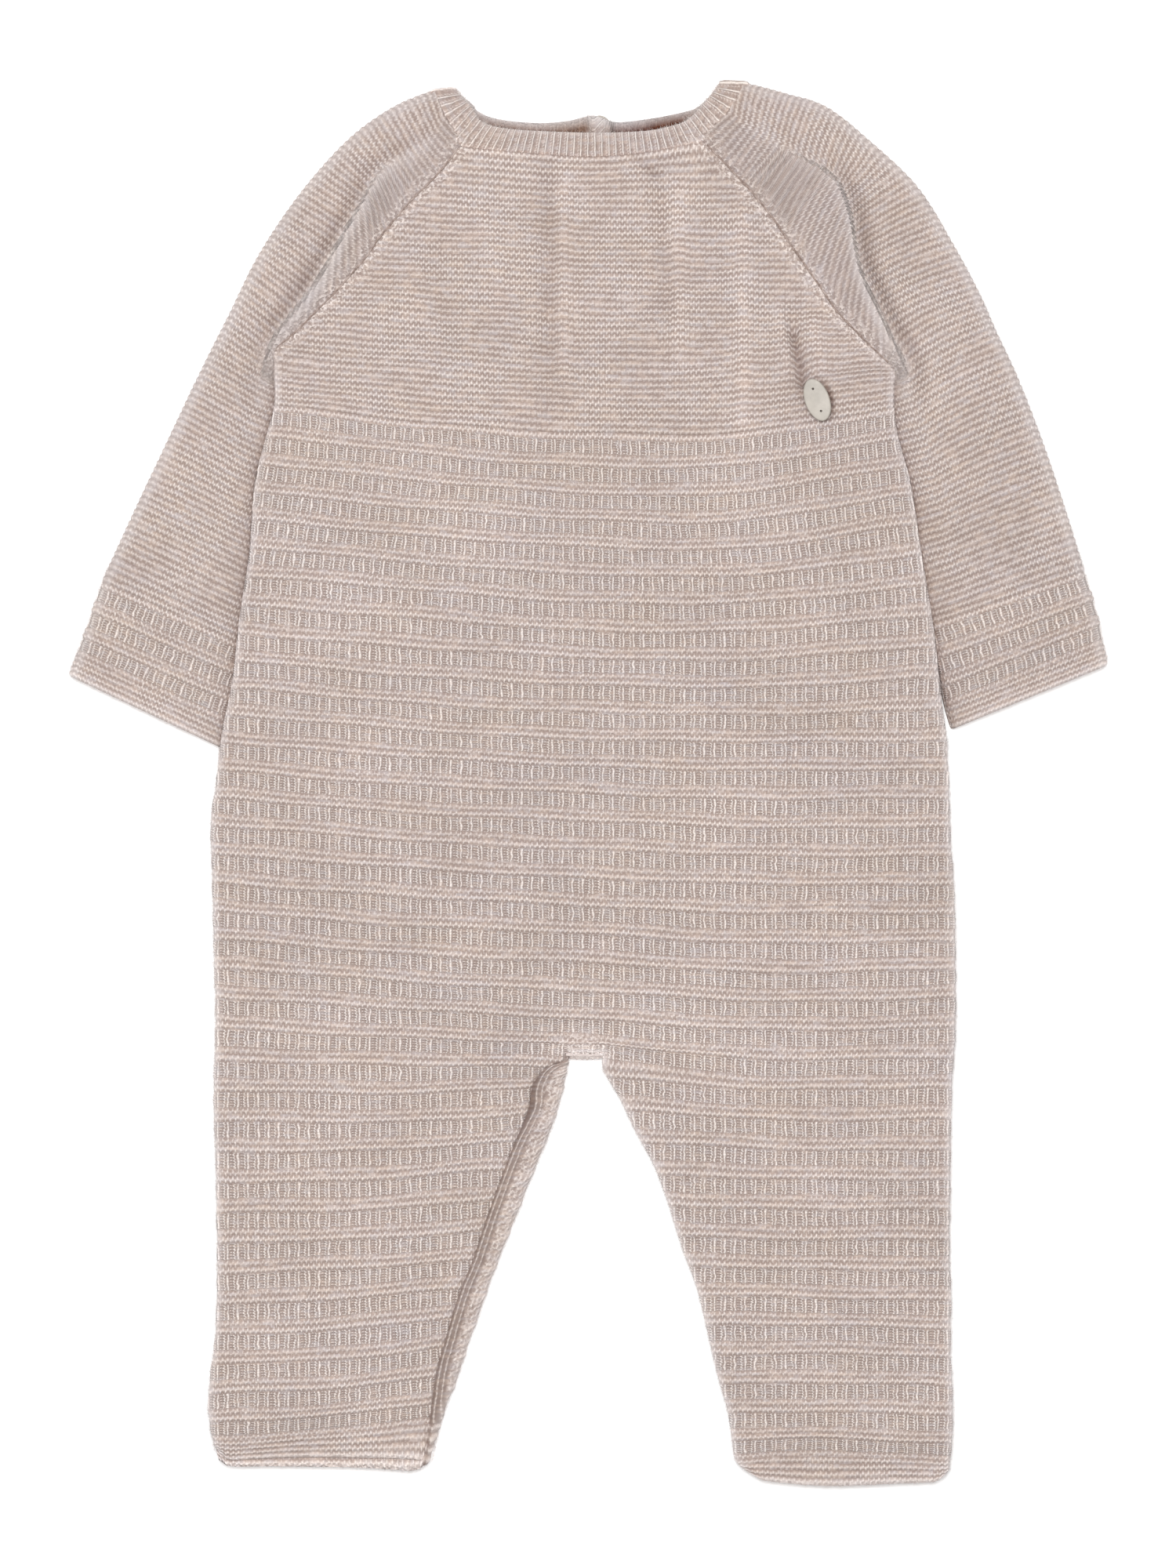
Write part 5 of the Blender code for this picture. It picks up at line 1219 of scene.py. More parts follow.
def back_place(x, column, course, outside, relief):
    """A point of the back, which rests flat with its stitches downwards."""
    x, y, across, from_edge = panel_at(x, column, course, INSEAM_RIGHT_FOLD, FOLD_REACH)
    neck_x = np.clip(across, -1, 1)
    neck_half = np.where(x < 0, -EDGE_RIGHT["x"][0], EDGE_LEFT["x"][0])
    there = panel_at(neck_half * neck_x, column, 0 * course + NECK_COURSE, INSEAM_RIGHT_FOLD)[1]
    shift = read(BACK_NECK_ROW, "y", "across", neck_x) - there
    y = y + shift * (1 - ease((course - NECK_COURSE) / 3))
    drop = np.where(across < 0, HEM_DROP_RIGHT * (0.75 + 0.6 * (1 + across)), HEM_DROP_LEFT)
    y = y - hem_share(course) * drop + corner_rise(course, from_edge)
    rolls_on = (across < 0) & (course > CROTCH_COURSE) & (np.abs(across) < 0.5)
    from_edge = np.where(rolls_on, FAR, from_edge)
    stray = wander(x, course, from_edge, 0.4)
    sunk = relief * ease(from_edge / RELIEF_FADE) - SINK - 0.5 * edge_drop(from_edge)
    padded = 1.5 * bell(np.maximum(above_hem(course) - 0.8, 0), 3.0) * (across < 0)
    z = cloth_height(1, outside, 0 * x, np.minimum(sunk, 0) if outside else padded)
    x = slanted_side(x, across, y, z, from_edge)
    at_inseam = (course >= CROTCH_COURSE) & (across > 0) & (across < LEG_SPLIT + 0.001)
    x = x + np.where(at_inseam, overhang(y, z), 0) + scallop(across, y, course, from_edge)
    return x, y + stray, z


def back_yoke():
    """The garter yoke of the back, with the slit below the neckband's lap."""
    half = SEAM_GAP / 2
    columns = np.concatenate([np.linspace(BACK_YOKE_SIDES[0], SLIT_X - half, 129),
                              np.linspace(SLIT_X - half, SLIT_X + half, 5)[1:],
                              np.linspace(SLIT_X + half, BACK_YOKE_SIDES[1], 117)[1:]])
    slit_end = (SLIT_END_COURSE - NECK_COURSE) * RIDGES_PER_COURSE
    return yoke_panel("back_yoke", columns, back_place,
                      gone=lambda x, ridge: abs(x - SLIT_X) < half and ridge < slit_end)


def back_pieces():
    """The back: yoke, upper body, and lower body with both legs."""
    upper, lower = banded_pieces("back", back_place, back_shade_marks, BACK_COURSE_ROWS)
    return back_yoke(), upper, lower


ROLL_OPENING_COURSE = 24.8    # the course at which the strip's seam gapes most
ROLL_OPENING = 1.4            # and how far it gapes there


def roll_place(number, course, outside, relief):
    """A point of the right leg's inner side: round its fold (0 to 1), then over the front (to 2)."""
    around, over = np.clip(number, 0, 1), np.clip(number - 1, 0, 1)
    inner_y = read(RIGHT_LEG_ROWS, "inner_y", "course", course)
    x, y = edge_x(INSEAM_RIGHT_FOLD, inner_y), inner_y
    drop = HEM_DROP_RIGHT * (1.32 - 0.6 * over - 0.3 * np.sin(math.pi * around))
    y = y - hem_share(course) * drop + corner_rise(course, 3.0 * over)
    curled = ease((course - CROTCH_COURSE) / ROLL_TURNED)
    laid = ease((course - CROTCH_COURSE) / ROLL_TURNED - 1)
    share = (around * 4 + over * 2) / 6
    turn = 1 - (share + (around - share) * laid) * curled
    axis_x = x - FOLD_REACH
    seam_x = edge_x(INSEAM_RIGHT_FRONT, y) + seam_shift(INSEAM_RIGHT_FRONT, y, SEWN_GAP)
    flat_x = axis_x + FOLD_REACH * share
    rolled_x = axis_x + (np.minimum(seam_x, axis_x) - axis_x) * over * laid
    x = flat_x + (rolled_x - flat_x) * curled
    from_seam = (2 - number) * np.maximum(axis_x - seam_x, 0.01)
    z = cloth_height(turn, outside, 0, relief - 0.55 * edge_drop(from_seam) if outside else 0)
    radius = face_radius(outside, relief if outside else 0)
    return x + radius * (1 - 0.45 * hem_share(course)) * np.sin(math.pi * turn), y, z


def leg_roll():
    """The strip of the right leg's back that has rolled up over its front."""
    size = sizes()

    def seam_distance(number, course):
        inner_y = read(RIGHT_LEG_ROWS, "inner_y", "course", course)
        fold_x = edge_x(INSEAM_RIGHT_FOLD, inner_y)
        width = fold_x - edge_x(INSEAM_RIGHT_FRONT, inner_y)
        return np.maximum(2 - number, 0) * np.maximum(width - FOLD_REACH, 0.5)

    def opening(course):
        return bell(course - ROLL_OPENING_COURSE, 1.1)

    def place(number, course, outside):
        relief = 0 * number
        if outside:
            from_seam = seam_distance(number, course)
            drawn = course + ROLL_SLANT * from_seam
            shifted = from_seam - ROLL_OPENING * opening(course)
            border = garter_relief(border_ridge(course), from_seam / size["stitch_width"], size)
            chains = bell(shifted - ROLL_CHAINS[0], 0.55) + 0.9 * bell(shifted - ROLL_CHAINS[1], 0.6)
            welt = 0.45 * bell(drawn - np.round(drawn), 0.13) * ease((shifted - 3.6) / 1.5)
            relief = 0.5 * chains + welt - 0.15 - 0.5 * opening(course) * ease(1 - shifted)
            relief = relief + (border - relief) * border_share(course)
            relief = relief * ease(number / 0.4) * ease((course - CROTCH_COURSE) / 0.4)
        return roll_place(number, course, outside, relief)

    def stitches(zone, number, course, points):
        from_seam = seam_distance(number, course)
        if zone == 0:
            shifted = from_seam - ROLL_OPENING * opening(course)
            return shifted + 1.2 * np.clip(1 - number, 0, 1), course
        return from_seam / size["stitch_width"], border_ridge(course)

    def shade_marks(number, course, points):
        from_seam = seam_distance(number, course)
        deep = opening(course)
        # Painted shade in the valley along the strip's seam, deepest where it gapes.
        shade = (0.12 + 0.18 * deep) * bell(from_seam, 0.8 + 1.2 * deep, 4)
        shade = shade + 0.05 * bell(from_seam, 3.4 + 1.2 * deep, 4) + 0.01
        # Painted light where the strip starts at the crotch and along its fold, lighter at its hem; grey
        # nap at the fold.
        shade = shade - 0.40 * bell(course - CROTCH_COURSE, 0.55)
        fold = ease(1.25 - number)
        shade = shade - 0.14 * fold - 0.14 * bell(above_hem(course), 3.0)
        return shade, 0.6 * (1 - fold) * ease((from_seam - 3.2) / 1.5), np.clip(0.5 * fold, 0, 1)

    numbers = np.concatenate([np.linspace(0, 1, 9), np.linspace(1, 2, 25)[1:]])
    rows = [CROTCH_COURSE + 0.05 * i for i in range(10)]
    rows += [course + part for course in range(23, 36) for part in COURSE_ROWS
             if course + part > CROTCH_COURSE + 0.47] + BORDER_ROWS
    return knit_shell("leg_roll", numbers, padded_rows(rows), place, stitches,
                      ("turned_seam_knit", "garter_knit"), (BORDER_COURSE,), shade_marks)


# ---- sleeves ------------------------------------------------------------------------------------
SLEEVE_STEP = 0.83            # half a stitch
SLEEVE_FRONT_COLUMNS = 72     # half stitches from the fold to past the inner edge
SLEEVE_BACK_COLUMNS = 36      # whole stitches from the fold on the resting side
FOLD_COLUMNS = 8
SLEEVE_RIDGE = 2.23           # height of a garter ridge on the sleeves
STEEP_ROW = 3.0               # the table row where the rows beyond the crease meet the others


class SleevePlan:
    """Where a sleeve's stitches lie, from its table, the body's edge and its side."""

    def __init__(self, rows, edge, side):
        self.rows, self.edge, self.side = rows, edge, side
        self.hem = rows["row"][-1]
        self.cuff_start = self.hem - CUFF_BANDS - 1
        self.stations = np.linspace(0, self.hem, 1601)
        middle = [(fold + crease) / 2 for fold, crease in zip(self.point("fold_", self.stations),
                                                              self.point("crease_", self.stations))]
        steps = np.hypot(np.diff(middle[0]), np.diff(middle[1]))
        self.lengths = np.concatenate([[0], np.cumsum(steps)])
        self.fold_length = math.pi * FOLD_RADIUS

    def point(self, kind, row):
        """The x and y of the fold or the crease at a row."""
        return np.array([read(self.rows, kind + axis, "row", row) for axis in "xy"])

    def ridge_of(self, row):
        """Garter ridges from the neck to a row, with a whole number of them above the cuff."""
        whole = np.interp(self.cuff_start, self.stations, self.lengths)
        count = round(whole / SLEEVE_RIDGE)
        return np.interp(row, self.stations, self.lengths) / whole * count

    def parts(self, away, inner_y):
        """Shares of the front layer above the armpit, and below it under the body's edge."""
        below = ease((ARMPIT_Y + 7 - inner_y) / 12.0)
        return (1 - below) * (away < 0), below * (away < 0)

    def shade_marks(self, away, row):
        """Painted shade beside the crease, on its inner side and beside the body, a painted highlight
        along the crease, and the mottled loops along the raglan seam.
        """
        inner, crease, axis = self.line(row)[:3]
        above, below = self.parts(away, inner[1])
        near, far = np.hypot(*(crease - inner)), np.hypot(*(axis - crease))
        from_axis = np.where(away < 0, -away, away - self.fold_length)
        from_edge = np.maximum(near + far - from_axis, 0)
        from_crease = far - from_axis
        lift = read(self.rows, "crease_lift", "row", row) / 3 * (away < 0)
        # Painted shadow on the crease's outer side, a painted highlight on its top, and painted shade on
        # its inner side; the grey there is painted highlight too.
        shade = 0.26 * lift * bell(from_crease - 3.4, 3.0) * ease(from_crease / 1.2 + 0.6)
        shade = shade - 0.03 * lift * bell(from_crease + 1.2, 2.6)
        inner_side = ease(-from_crease / 3.0) * above
        shade = shade + 0.14 * inner_side
        grey = 0.42 * lift * bell(from_crease + 2.0, 2.4) + 0.12 * inner_side
        # Grey nap at the fold's edge, darker with painted shade near the neck.
        rim = np.where(away < 0, bell(from_axis, 1.6), ease(2 - 2 * away / self.fold_length))
        grey = grey + 0.32 * rim
        shade = shade + rim * (0.06 - 0.05 * ease((row - 1.0) / 4.0))
        # Painted shadow under the body's edge, and painted shade along the raglan seam.
        shade = shade + below * (0.20 * bell(from_edge, 1.1) + 0.15 * bell(from_edge, 4.5))
        shade = shade + 0.10 * above * bell(from_edge, 0.8)
        # Lighter and greyer at the cuff's hem and border.
        to_hem = above_hem(row, self.hem)
        shade = shade - 0.14 * bell(to_hem, 2.0) - 0.08 * ease((COURSE_HEIGHT - to_hem) / 3)
        grey = grey + 0.30 * bell(to_hem, 1.8)
        # Smooth bands along the crease and at the armpit, where the painted shade is evened out.
        smooth = above * ease(row - 1.2) * bell(from_crease + 0.4, 0.85, 4)
        armpit = bell(inner[1] - ARMPIT_Y - 2, 6.0) * bell(from_edge, 7.0, 4) * (away < 0)
        smooth = np.maximum(smooth, armpit)
        shade = shade * (1 - 0.7 * smooth) + 0.06 * smooth
        grey = np.clip(grey * (1 - 0.5 * smooth) + 0.10 * smooth, 0, 1)
        return shade, np.maximum(above * bell(from_edge, 4.2, 4), smooth), grey

    def knitted(self, away, row, stitch):
        """Stitches along and ridges down at a point: rows bend at the crease, steep beyond it."""
        inner, crease, axis = self.line(row)[:3]
        far, near = np.hypot(*(axis - crease)), np.hypot(*(crease - inner))
        slant, level = (0.22, 150.0) if self.side > 0 else (0.08, 181.0)
        fading = 1 - ease((row - 6.0) / (self.cuff_start - 6.0))
        ridge = self.ridge_of(row) + 16 * slant * fading * (1 - np.exp(-np.maximum(away + far, 0) / 16))
        beyond = -away - far
        share = ease(beyond / 0.9) * ease((row - 1.5) / 1.5) * self.parts(away, inner[1])[0]
        x, y = crease + (inner - crease) * np.clip(beyond / near, 0, 1)
        x = x * self.side
        start = self.point("crease_", STEEP_ROW)
        steep = (0.95 * x - 0.0052 * (y - level) ** 2) / 2.15
        steep = steep - (0.95 * start[0] * self.side - 0.0052 * (start[1] - level) ** 2) / 2.15
        steep = steep + self.ridge_of(STEEP_ROW)
        along = (0.2 * x - 0.98 * y + start[1]) / 1.75
        return away / stitch * (1 - share) + along * share, ridge * (1 - share) + steep * share

    def line(self, row):
        """The inner edge, the crease and the fold's axis at a row, and the way out there."""
        inner_y = read(self.rows, "inner_y", "row", row)
        stand_off = read(self.rows, "stand_off", "row", row) + seam_shift(self.edge, inner_y, SEWN_GAP)
        inner_x = read(self.edge, "x", "y", inner_y) + self.side * stand_off
        fold, crease = self.point("fold_", row), self.point("crease_", row)
        out = (fold - crease) / np.hypot(*(fold - crease))
        return np.array([inner_x, inner_y]), crease, fold - FOLD_REACH * out, out

    def place(self, away, row, outside, relief):
        """A point this far from the fold's front edge: below 0 on the front, then round it."""
        inner, crease, axis, out = self.line(row)
        above, below = self.parts(away, inner[1])
        near, far = np.hypot(*(crease - inner)), np.hypot(*(axis - crease))
        turn = np.clip(away / self.fold_length, 0, 1)
        from_axis = np.clip(np.where(away < 0, -away, away - self.fold_length), 0, near + far)
        part_far = np.clip(from_axis / far, 0, 1)
        part_near = np.clip((from_axis - far) / near, 0, 1)
        spot = axis + (crease - axis) * part_far + (inner - crease) * part_near
        along = CREASE_SHARE * (1 - part_near) + (1 - CREASE_SHARE) * (1 - part_far)
        hump = np.where(along <= CREASE_SHARE, np.sin(math.pi / 2 * along / CREASE_SHARE) ** 2,
                        bell(along - CREASE_SHARE, CREASE_FALL))
        lift = read(self.rows, "crease_lift", "row", row) * hump * (turn < 0.01)
        from_edge = near + far - from_axis
        if outside:
            relief = relief * ease(from_edge / RELIEF_FADE) - SINK * turn * ease(0.2 + from_edge)
            sewn = np.where(away < 0, 1 - RAGLAN_DRAWN * above, 0.3)
            relief = relief - edge_drop(from_edge) * sewn
            relief = relief - HEM_ROUNDING * lip_drop(row, self.hem)
            relief = relief - 0.75 * below * bell(from_edge, 1.8)
            relief = np.where(turn > 0.99, np.minimum(relief, 0), relief)
        else:
            relief = 0
        z = cloth_height(turn, outside, lift, relief)
        spot = spot + face_radius(outside, relief) * np.sin(math.pi * turn) * out
        at_edge = from_edge < 0.01
        return spot[0] - np.where(at_edge, self.side * overhang(inner[1], z), 0), spot[1], z


def sleeve(name, rows, edge, side):
    """A raglan sleeve folded along the top of the arm, with its banded cuff."""
    size = sizes()
    plan = SleevePlan(rows, edge, side)
    border = plan.cuff_start + CUFF_BANDS
    stitch = 2 * SLEEVE_STEP
    front = np.arange(-SLEEVE_FRONT_COLUMNS, 1) * SLEEVE_STEP
    fold = np.linspace(0, plan.fold_length, FOLD_COLUMNS + 1)[1:]
    back = plan.fold_length + np.arange(1, SLEEVE_BACK_COLUMNS + 1) * 2 * SLEEVE_STEP
    columns = np.concatenate([front, fold, back])

    ridges = np.arange(round(plan.ridge_of(plan.cuff_start)) * RIDGE_ROWS) / RIDGE_ROWS
    garter = np.interp(ridges, plan.ridge_of(plan.stations), plan.stations)
    bands = [plan.cuff_start + band + part for band in range(CUFF_BANDS) for part in COURSE_ROWS]
    stations = padded_rows(np.concatenate([garter, bands, border + BORDER_PLACES]))

    def place(away, row, outside):
        relief = 0 * away
        if outside:
            in_cuff = row - plan.cuff_start
            along, ridge = plan.knitted(away, row, stitch)
            garter = garter_relief(ridge, along, size)
            bands = banded_relief(in_cuff, away / size["rib_pitch"], size, last=CUFF_BANDS - 0.5)
            hem = garter_relief((in_cuff - CUFF_BANDS) * BORDER_RIDGES, away / stitch, size)
            relief = garter + (bands - garter) * ease(in_cuff / 0.06)
            relief = relief + (hem - relief) * ease((in_cuff - CUFF_BANDS) / 0.03)
        return plan.place(away, row, outside, relief)

    def stitches(zone, away, row, points):
        if zone == 0:
            return plan.knitted(away, row, stitch)
        if zone == 1:
            return away / size["rib_pitch"] + 0.5, row - plan.cuff_start
        return away / stitch, (row - border) * BORDER_RIDGES

    return knit_shell(name, columns, stations, place, stitches,
                      ("sleeve_garter_knit", "banded_rib_knit", "garter_knit"),
                      (plan.cuff_start, border), lambda away, row, points: plan.shade_marks(away, row))


# ---- neckband, crotch strip ---------------------------------------------------------------------
BAND_CORNERS = (7.3, 14.8, 21.3, 28.7)      # stations where yoke, sleeve and band meet
BAND_MIDDLE = 18              # the station at the middle of the front
BAND_HALF = 8                 # stations from there to where the band goes over to the back
BAND_OVERLAP = 0.7            # how far the band reaches under the pieces it is sewn to


def band_place(across, station, outside, relief):
    """A point of the neckband: how far across it is from its seam (0) to the neck (1)."""
    ends = {name: read(BAND_STATIONS, name, "station", station) for name in BAND_STATIONS
            if name != "station"}

    def between(kind, share):
        return ends["seam_" + kind] + (ends["neck_" + kind] - ends["seam_" + kind]) * share

    turn = np.clip(ends["turn"], 0, 1)
    corner = sum(bell(station - middle, 0.8) for middle in BAND_CORNERS)
    width = np.hypot(ends["neck_x"] - ends["seam_x"], ends["neck_y"] - ends["seam_y"])
    shoulder = bell(station - 11.6, 2.9, 4) + bell(station - 24.4, 2.9, 4)
    sewn = across - (BAND_OVERLAP + 1.1 * corner + 1.3 * shoulder) / width * (1 - across)
    x, y, lift = between("x", sewn), between("y", sewn), between("lift", across)
    first_end = np.where(station < BAND_MIDDLE - BAND_HALF, 1.0, 0.0)
    at_back = first_end + np.where(station > BAND_MIDDLE + BAND_HALF, 1.0, 0.0)
    from_lap = np.maximum(np.abs(x - SLIT_X) - LAP_HALF, 0)
    thinned = ease(1 - from_lap / LAP_RUN) * at_back
    raised = bell(from_lap, LAP_SLOPE) * at_back
    over_button = CLOSING_BUTTON_THICKNESS + LAP_CLEARANCE - LAP_SEAM_RAISE
    lift = lift + raised * (LAP_SEAM_RAISE + over_button * ease(across / 0.5))
    lift = lift + thinned * first_end * (LAP_THICKNESS + LAP_CLEARANCE)
    thin = WALL - BAND_WALL + (BAND_WALL - LAP_THICKNESS) * thinned
    if outside:
        relief = relief * (1 - 0.6 * thinned) - 0.35 * turn
        from_rim = np.minimum(across, 1 - across) * width
        relief = relief - 0.75 * edge_drop(from_rim) * (1 - 0.6 * turn)
    else:
        relief = -thin
    z = cloth_height(turn, outside, lift, relief)
    lean = np.where(x < 0, -1, 1) * math.sin(SHOULDER_LEAN)
    reach = face_radius(outside, relief) * np.sin(math.pi * turn)
    return x + reach * lean, y + reach * math.cos(SHOULDER_LEAN), z


def neckband():
    """The ribbed band round the neck, its two ends lapped at the middle of the back."""
    samples = np.linspace(0, BAND_STATIONS["station"][-1], 1401)
    middle = [(read(BAND_STATIONS, "seam_" + axis, "station", samples)
               + read(BAND_STATIONS, "neck_" + axis, "station", samples)) / 2 for axis in "xy"]
    turn = read(BAND_STATIONS, "turn", "station", samples) * math.pi * FOLD_RADIUS
    steps = np.sqrt(np.diff(middle[0]) ** 2 + np.diff(middle[1]) ** 2 + np.diff(turn) ** 2)
    lengths = np.concatenate([[0], np.cumsum(steps)]) / NECK_RIB_PITCH
    repeats = np.arange(int(lengths[-1]) * 8 + 1) / 8
    stations = np.interp(repeats, lengths, samples)

    def place(across, station, outside):
        repeat = np.interp(station, samples, lengths)
        relief = 0 * across
        if outside:
            crest = 0.5 + 0.5 * np.cos(TURN * repeat)
            relief = 0.55 * (crest - 0.5) * ease(across / 0.1) * (1 - 0.4 * ease((across - 0.8) / 0.2))
        return band_place(across, station, outside, relief)

    def stitches(zone, across, station, points):
        lapped = bell(points[:, 0] - SLIT_X, 4.5, 4) * (np.abs(station - BAND_MIDDLE) > BAND_HALF)
        return np.interp(station, samples, lengths) + 5.0 * across * lapped, across * 1.0

    def shade_marks(across, station, points):
        inside = np.abs(station - BAND_MIDDLE) > BAND_HALF - 0.5
        lapped = bell(points[:, 0] - SLIT_X, 3.8, 4)
        # Painted shade inside the back band seen through the neck, deepest under the front band's rim,
        # browner round x 26 mm and lighter on the lap.
        deep = 1 - ease((across - 0.72) / 0.22)
        warm = bell(points[:, 0] - 26.0, 9.0)
        shade = inside * (0.30 - 0.24 * lapped + 0.16 * warm + 0.42 * deep * (1 - 0.7 * lapped))
        corner = sum(bell(station - middle, 1.6) for middle in BAND_CORNERS)
        mottle = np.clip(0.8 * corner * (1 - across) + 0.7 * inside * (1 - 0.8 * lapped), 0, 1)
        # Painted light along the front band's seam to the yoke.
        shade = shade - (1 - inside) * 0.26 * bell(across, 0.13)
        # Grey nap on the back band and the front band's rim, and the back band lighter at its top.
        rim = 0.15 * inside + 0.65 * inside * across ** 8 + 0.25 * (1 - inside) * across ** 6
        return shade - 0.16 * inside * across ** 10, mottle, rim

    return knit_shell("neck_rib_band", np.linspace(0, 1, 17), stations, place, stitches,
                      ("neck_rib_knit",), (), shade_marks)


def crotch_strip():
    """The small strip that closes the crotch between the four inner leg seams."""
    start = INSEAM_RIGHT_FOLD["x"][2] - 1.0
    end = INSEAM_LEFT["x"][2] + 0.2
    crotch_y = RIGHT_LEG_ROWS["inner_y"][1] + 0.3
    size = sizes()

    def place(along, level, outside):
        x = start + (end - start) * along
        bow = 0.5 * np.sin(math.pi * along) * np.sin(math.pi * level)
        relief = 0.22 * np.cos(TURN * 2 * level) + 0.12 * np.cos(TURN * along * (end - start) / 1.8)
        round_in = 0.55 + 0.45 * np.sin(math.pi * level) + relief * np.sin(math.pi * level)
        y = crotch_y - (1.5 * round_in + bow if outside else 0 * x)
        return x, y, 0.2 + (2 * MID_HEIGHT - 0.4) * level

    def stitches(zone, along, level, points):
        return along * (end - start) / size["stitch_width"], level * 2

    def shade_marks(along, level, points):
        # Painted light: the strip stands on edge in shade, so it is lightened, mottled and greyed.
        return -0.35 + 0 * along, 0.5 + 0 * along, 0.4 + 0 * along

    return knit_shell("crotch_strip", np.linspace(0, 1, 49), np.linspace(0, 1, 17), place, stitches,
                      ("garter_knit",), (), shade_marks)


SEAM_YARN_RADIUS = 0.38
# The seam yarn's dark, brown and pale colours are painted shade of the seam's groove.
SEAM_YARN_SHADE_COLOURS = (0.19, 0.135, 0.115), (0.36, 0.275, 0.240), (0.45, 0.37, 0.335)
# Each raglan seam's yarn: its name, the body's edge it follows, and where it starts and ends.
RAGLAN_SEAMS = (("right_raglan_shade_yarn", EDGE_RIGHT, 215.6, 146.8),
                ("left_raglan_shade_yarn", EDGE_LEFT, 216.8, 143.0))


def seam_shade_yarn_finish():
    """The brown yarn seen down in a seam, twisted and a little fuzzy; its dark browns paint the shade in
    the seam's groove.
    """
    finish = Finish("shaded_seam_yarn")
    dark, brown, pale = SEAM_YARN_SHADE_COLOURS
    twist = finish.noise(finish.body, 1300.0, 3.0, 0.6)
    slow = finish.noise(finish.body, 260.0, 2.0)
    colour = finish.blend(finish.step(twist, 0.35, 0.65), shaded(dark), shaded(brown))
    colour = finish.blend(finish.step(slow, 0.45, 0.75), colour, shaded(pale))
    finish.give(finish.shader, Base_Color=colour, Roughness=finish.scaled(twist, 0.2, 0.75))
    finish.bumps(twist, 0.6, 0.15)
    return finish.material


def finished_mesh(made):
    """A new mesh of an object as its curve or its modifiers leave it."""
    bpy.context.view_layer.update()
    return bpy.data.meshes.new_from_object(
        made.evaluated_get(bpy.context.evaluated_depsgraph_get()))


def cord(name, points, radius, finish):
    """A round yarn through these points, in mm, as one closed mesh."""
    data = bpy.data.curves.new(name, "CURVE")
    data.dimensions = "3D"
    data.bevel_depth, data.bevel_resolution = radius * MM, 2
    data.use_fill_caps = True
    spline = data.splines.new("POLY")
    spline.points.add(len(points) - 1)
    for spot, place in zip(spline.points, points):
        spot.co = (*[value * MM for value in place], 1.0)
    mesh = finished_mesh(put(name + "_line", data))
    bpy.data.curves.remove(data)
    bm = bmesh.new()
    bm.from_mesh(mesh)
    bmesh.ops.remove_doubles(bm, verts=bm.verts, dist=0.002 * MM)
    bmesh.ops.recalc_face_normals(bm, faces=bm.faces)
    bm.to_mesh(mesh)
    bm.free()
    mesh.name = name
    mesh.materials.clear()
    mesh.shade_smooth()
    return add_piece(name, mesh, [finish])


def raglan_yarns():
    """The yarn that joins each sleeve to the front, sunk between them down to the armpit, dark with the
    painted shade of the seam's groove.
    """
    finish = seam_shade_yarn_finish()
    level = cloth_height(0, True, 0, -0.62 * EDGE_THINNING)
    made = []
    for name, edge, top, bottom in RAGLAN_SEAMS:
        heights = np.linspace(top, bottom, 160)
        waver = 0.10 * np.sin(heights * 1.9) + 0.12 * np.sin(heights * 0.53 + 1.0)
        x = edge_x(edge, heights) + waver
        z = level + 0.05 * np.sin(heights * 1.3) + 0.22
        made.append(cord(name, np.stack([x, heights, z], axis=1), SEAM_YARN_RADIUS, finish))
    return made


# ---- fibres -------------------------------------------------------------------------------------
FIBRE_DOUBLINGS = 14          # the fibres are one, doubled this many times
FIBRE_WIDTH = 0.075
FIBRE_LENGTH = 2.2
FIBRE_SPAN = 0.6              # size of a fibre's cone before it is drawn out
FIBRE_LEVEL = 2.2             # height of the roots along the sides
FIBRE_COLOURS = (0.66, 0.61, 0.59), (0.86, 0.81, 0.78)
# The sides with fibres: the edge, the way out across it, and where the fibres start and end.
FIBRE_SIDES = ((EDGE_RIGHT, -1, 18.0, -228.0), (EDGE_LEFT, 1, 18.0, -234.0),
               (INSEAM_RIGHT_FOLD, 1, -94.0, -231.0), (INSEAM_LEFT, -1, -94.0, -232.0))
# The hems with fibres: where they start and end, and a column of that leg.
FIBRE_HEMS = ((-118.0, -56.0, -60.0), (58.0, 118.0, 60.0))
# The runs of the neckband's rim with fibres, from station to station.
FIBRE_RIMS = ((0.0, 10.5), (12.0, 24.0), (25.5, 35.0))


def outline_paths():
    """Runs of points, in mm, along the garment's outer edges, each with the way out of it."""
    paths = []
    for edge, side, top, bottom in FIBRE_SIDES:
        y = np.linspace(top, bottom, 300)
        paths.append(((edge_x(edge, y), y, 0 * y + FIBRE_LEVEL), (side, 0.0)))
    for rows, edge, side in ((RIGHT_SLEEVE_ROWS, EDGE_RIGHT, -1), (LEFT_SLEEVE_ROWS, EDGE_LEFT, 1)):
        plan = SleevePlan(rows, edge, side)
        row = np.linspace(0.2, plan.hem - 0.1, 300)
        paths.append((plan.place(0 * row + plan.fold_length / 2, row, True, 0 * row), (side, 0.6)))
        away = np.linspace(-44.0, 0.0, 60)
        paths.append((plan.place(away, 0 * away + plan.hem, True, 0 * away), (0.0, -1)))
    for low, high, column in FIBRE_HEMS:
        x = np.linspace(low, high, 80)
        for place_on in (front_place, back_place):
            x_at, y_at, z_at = place_on(x, 0 * x + column, 0 * x + HEM_COURSE, True, 0 * x)
            paths.append(((x_at, y_at, 0.5 * (z_at + FIBRE_LEVEL)), (0.0, -1)))
    for first, last in FIBRE_RIMS:
        station = np.linspace(first, last, 160)
        paths.append((band_place(0 * station + 1.0, station, True, 0 * station), (0.0, 1)))
    return [(np.stack(points, axis=1), out) for points, out in paths]


def unit(ways):
    """The same directions, each one long."""
    return ways / np.linalg.norm(ways, axis=1)[:, None]


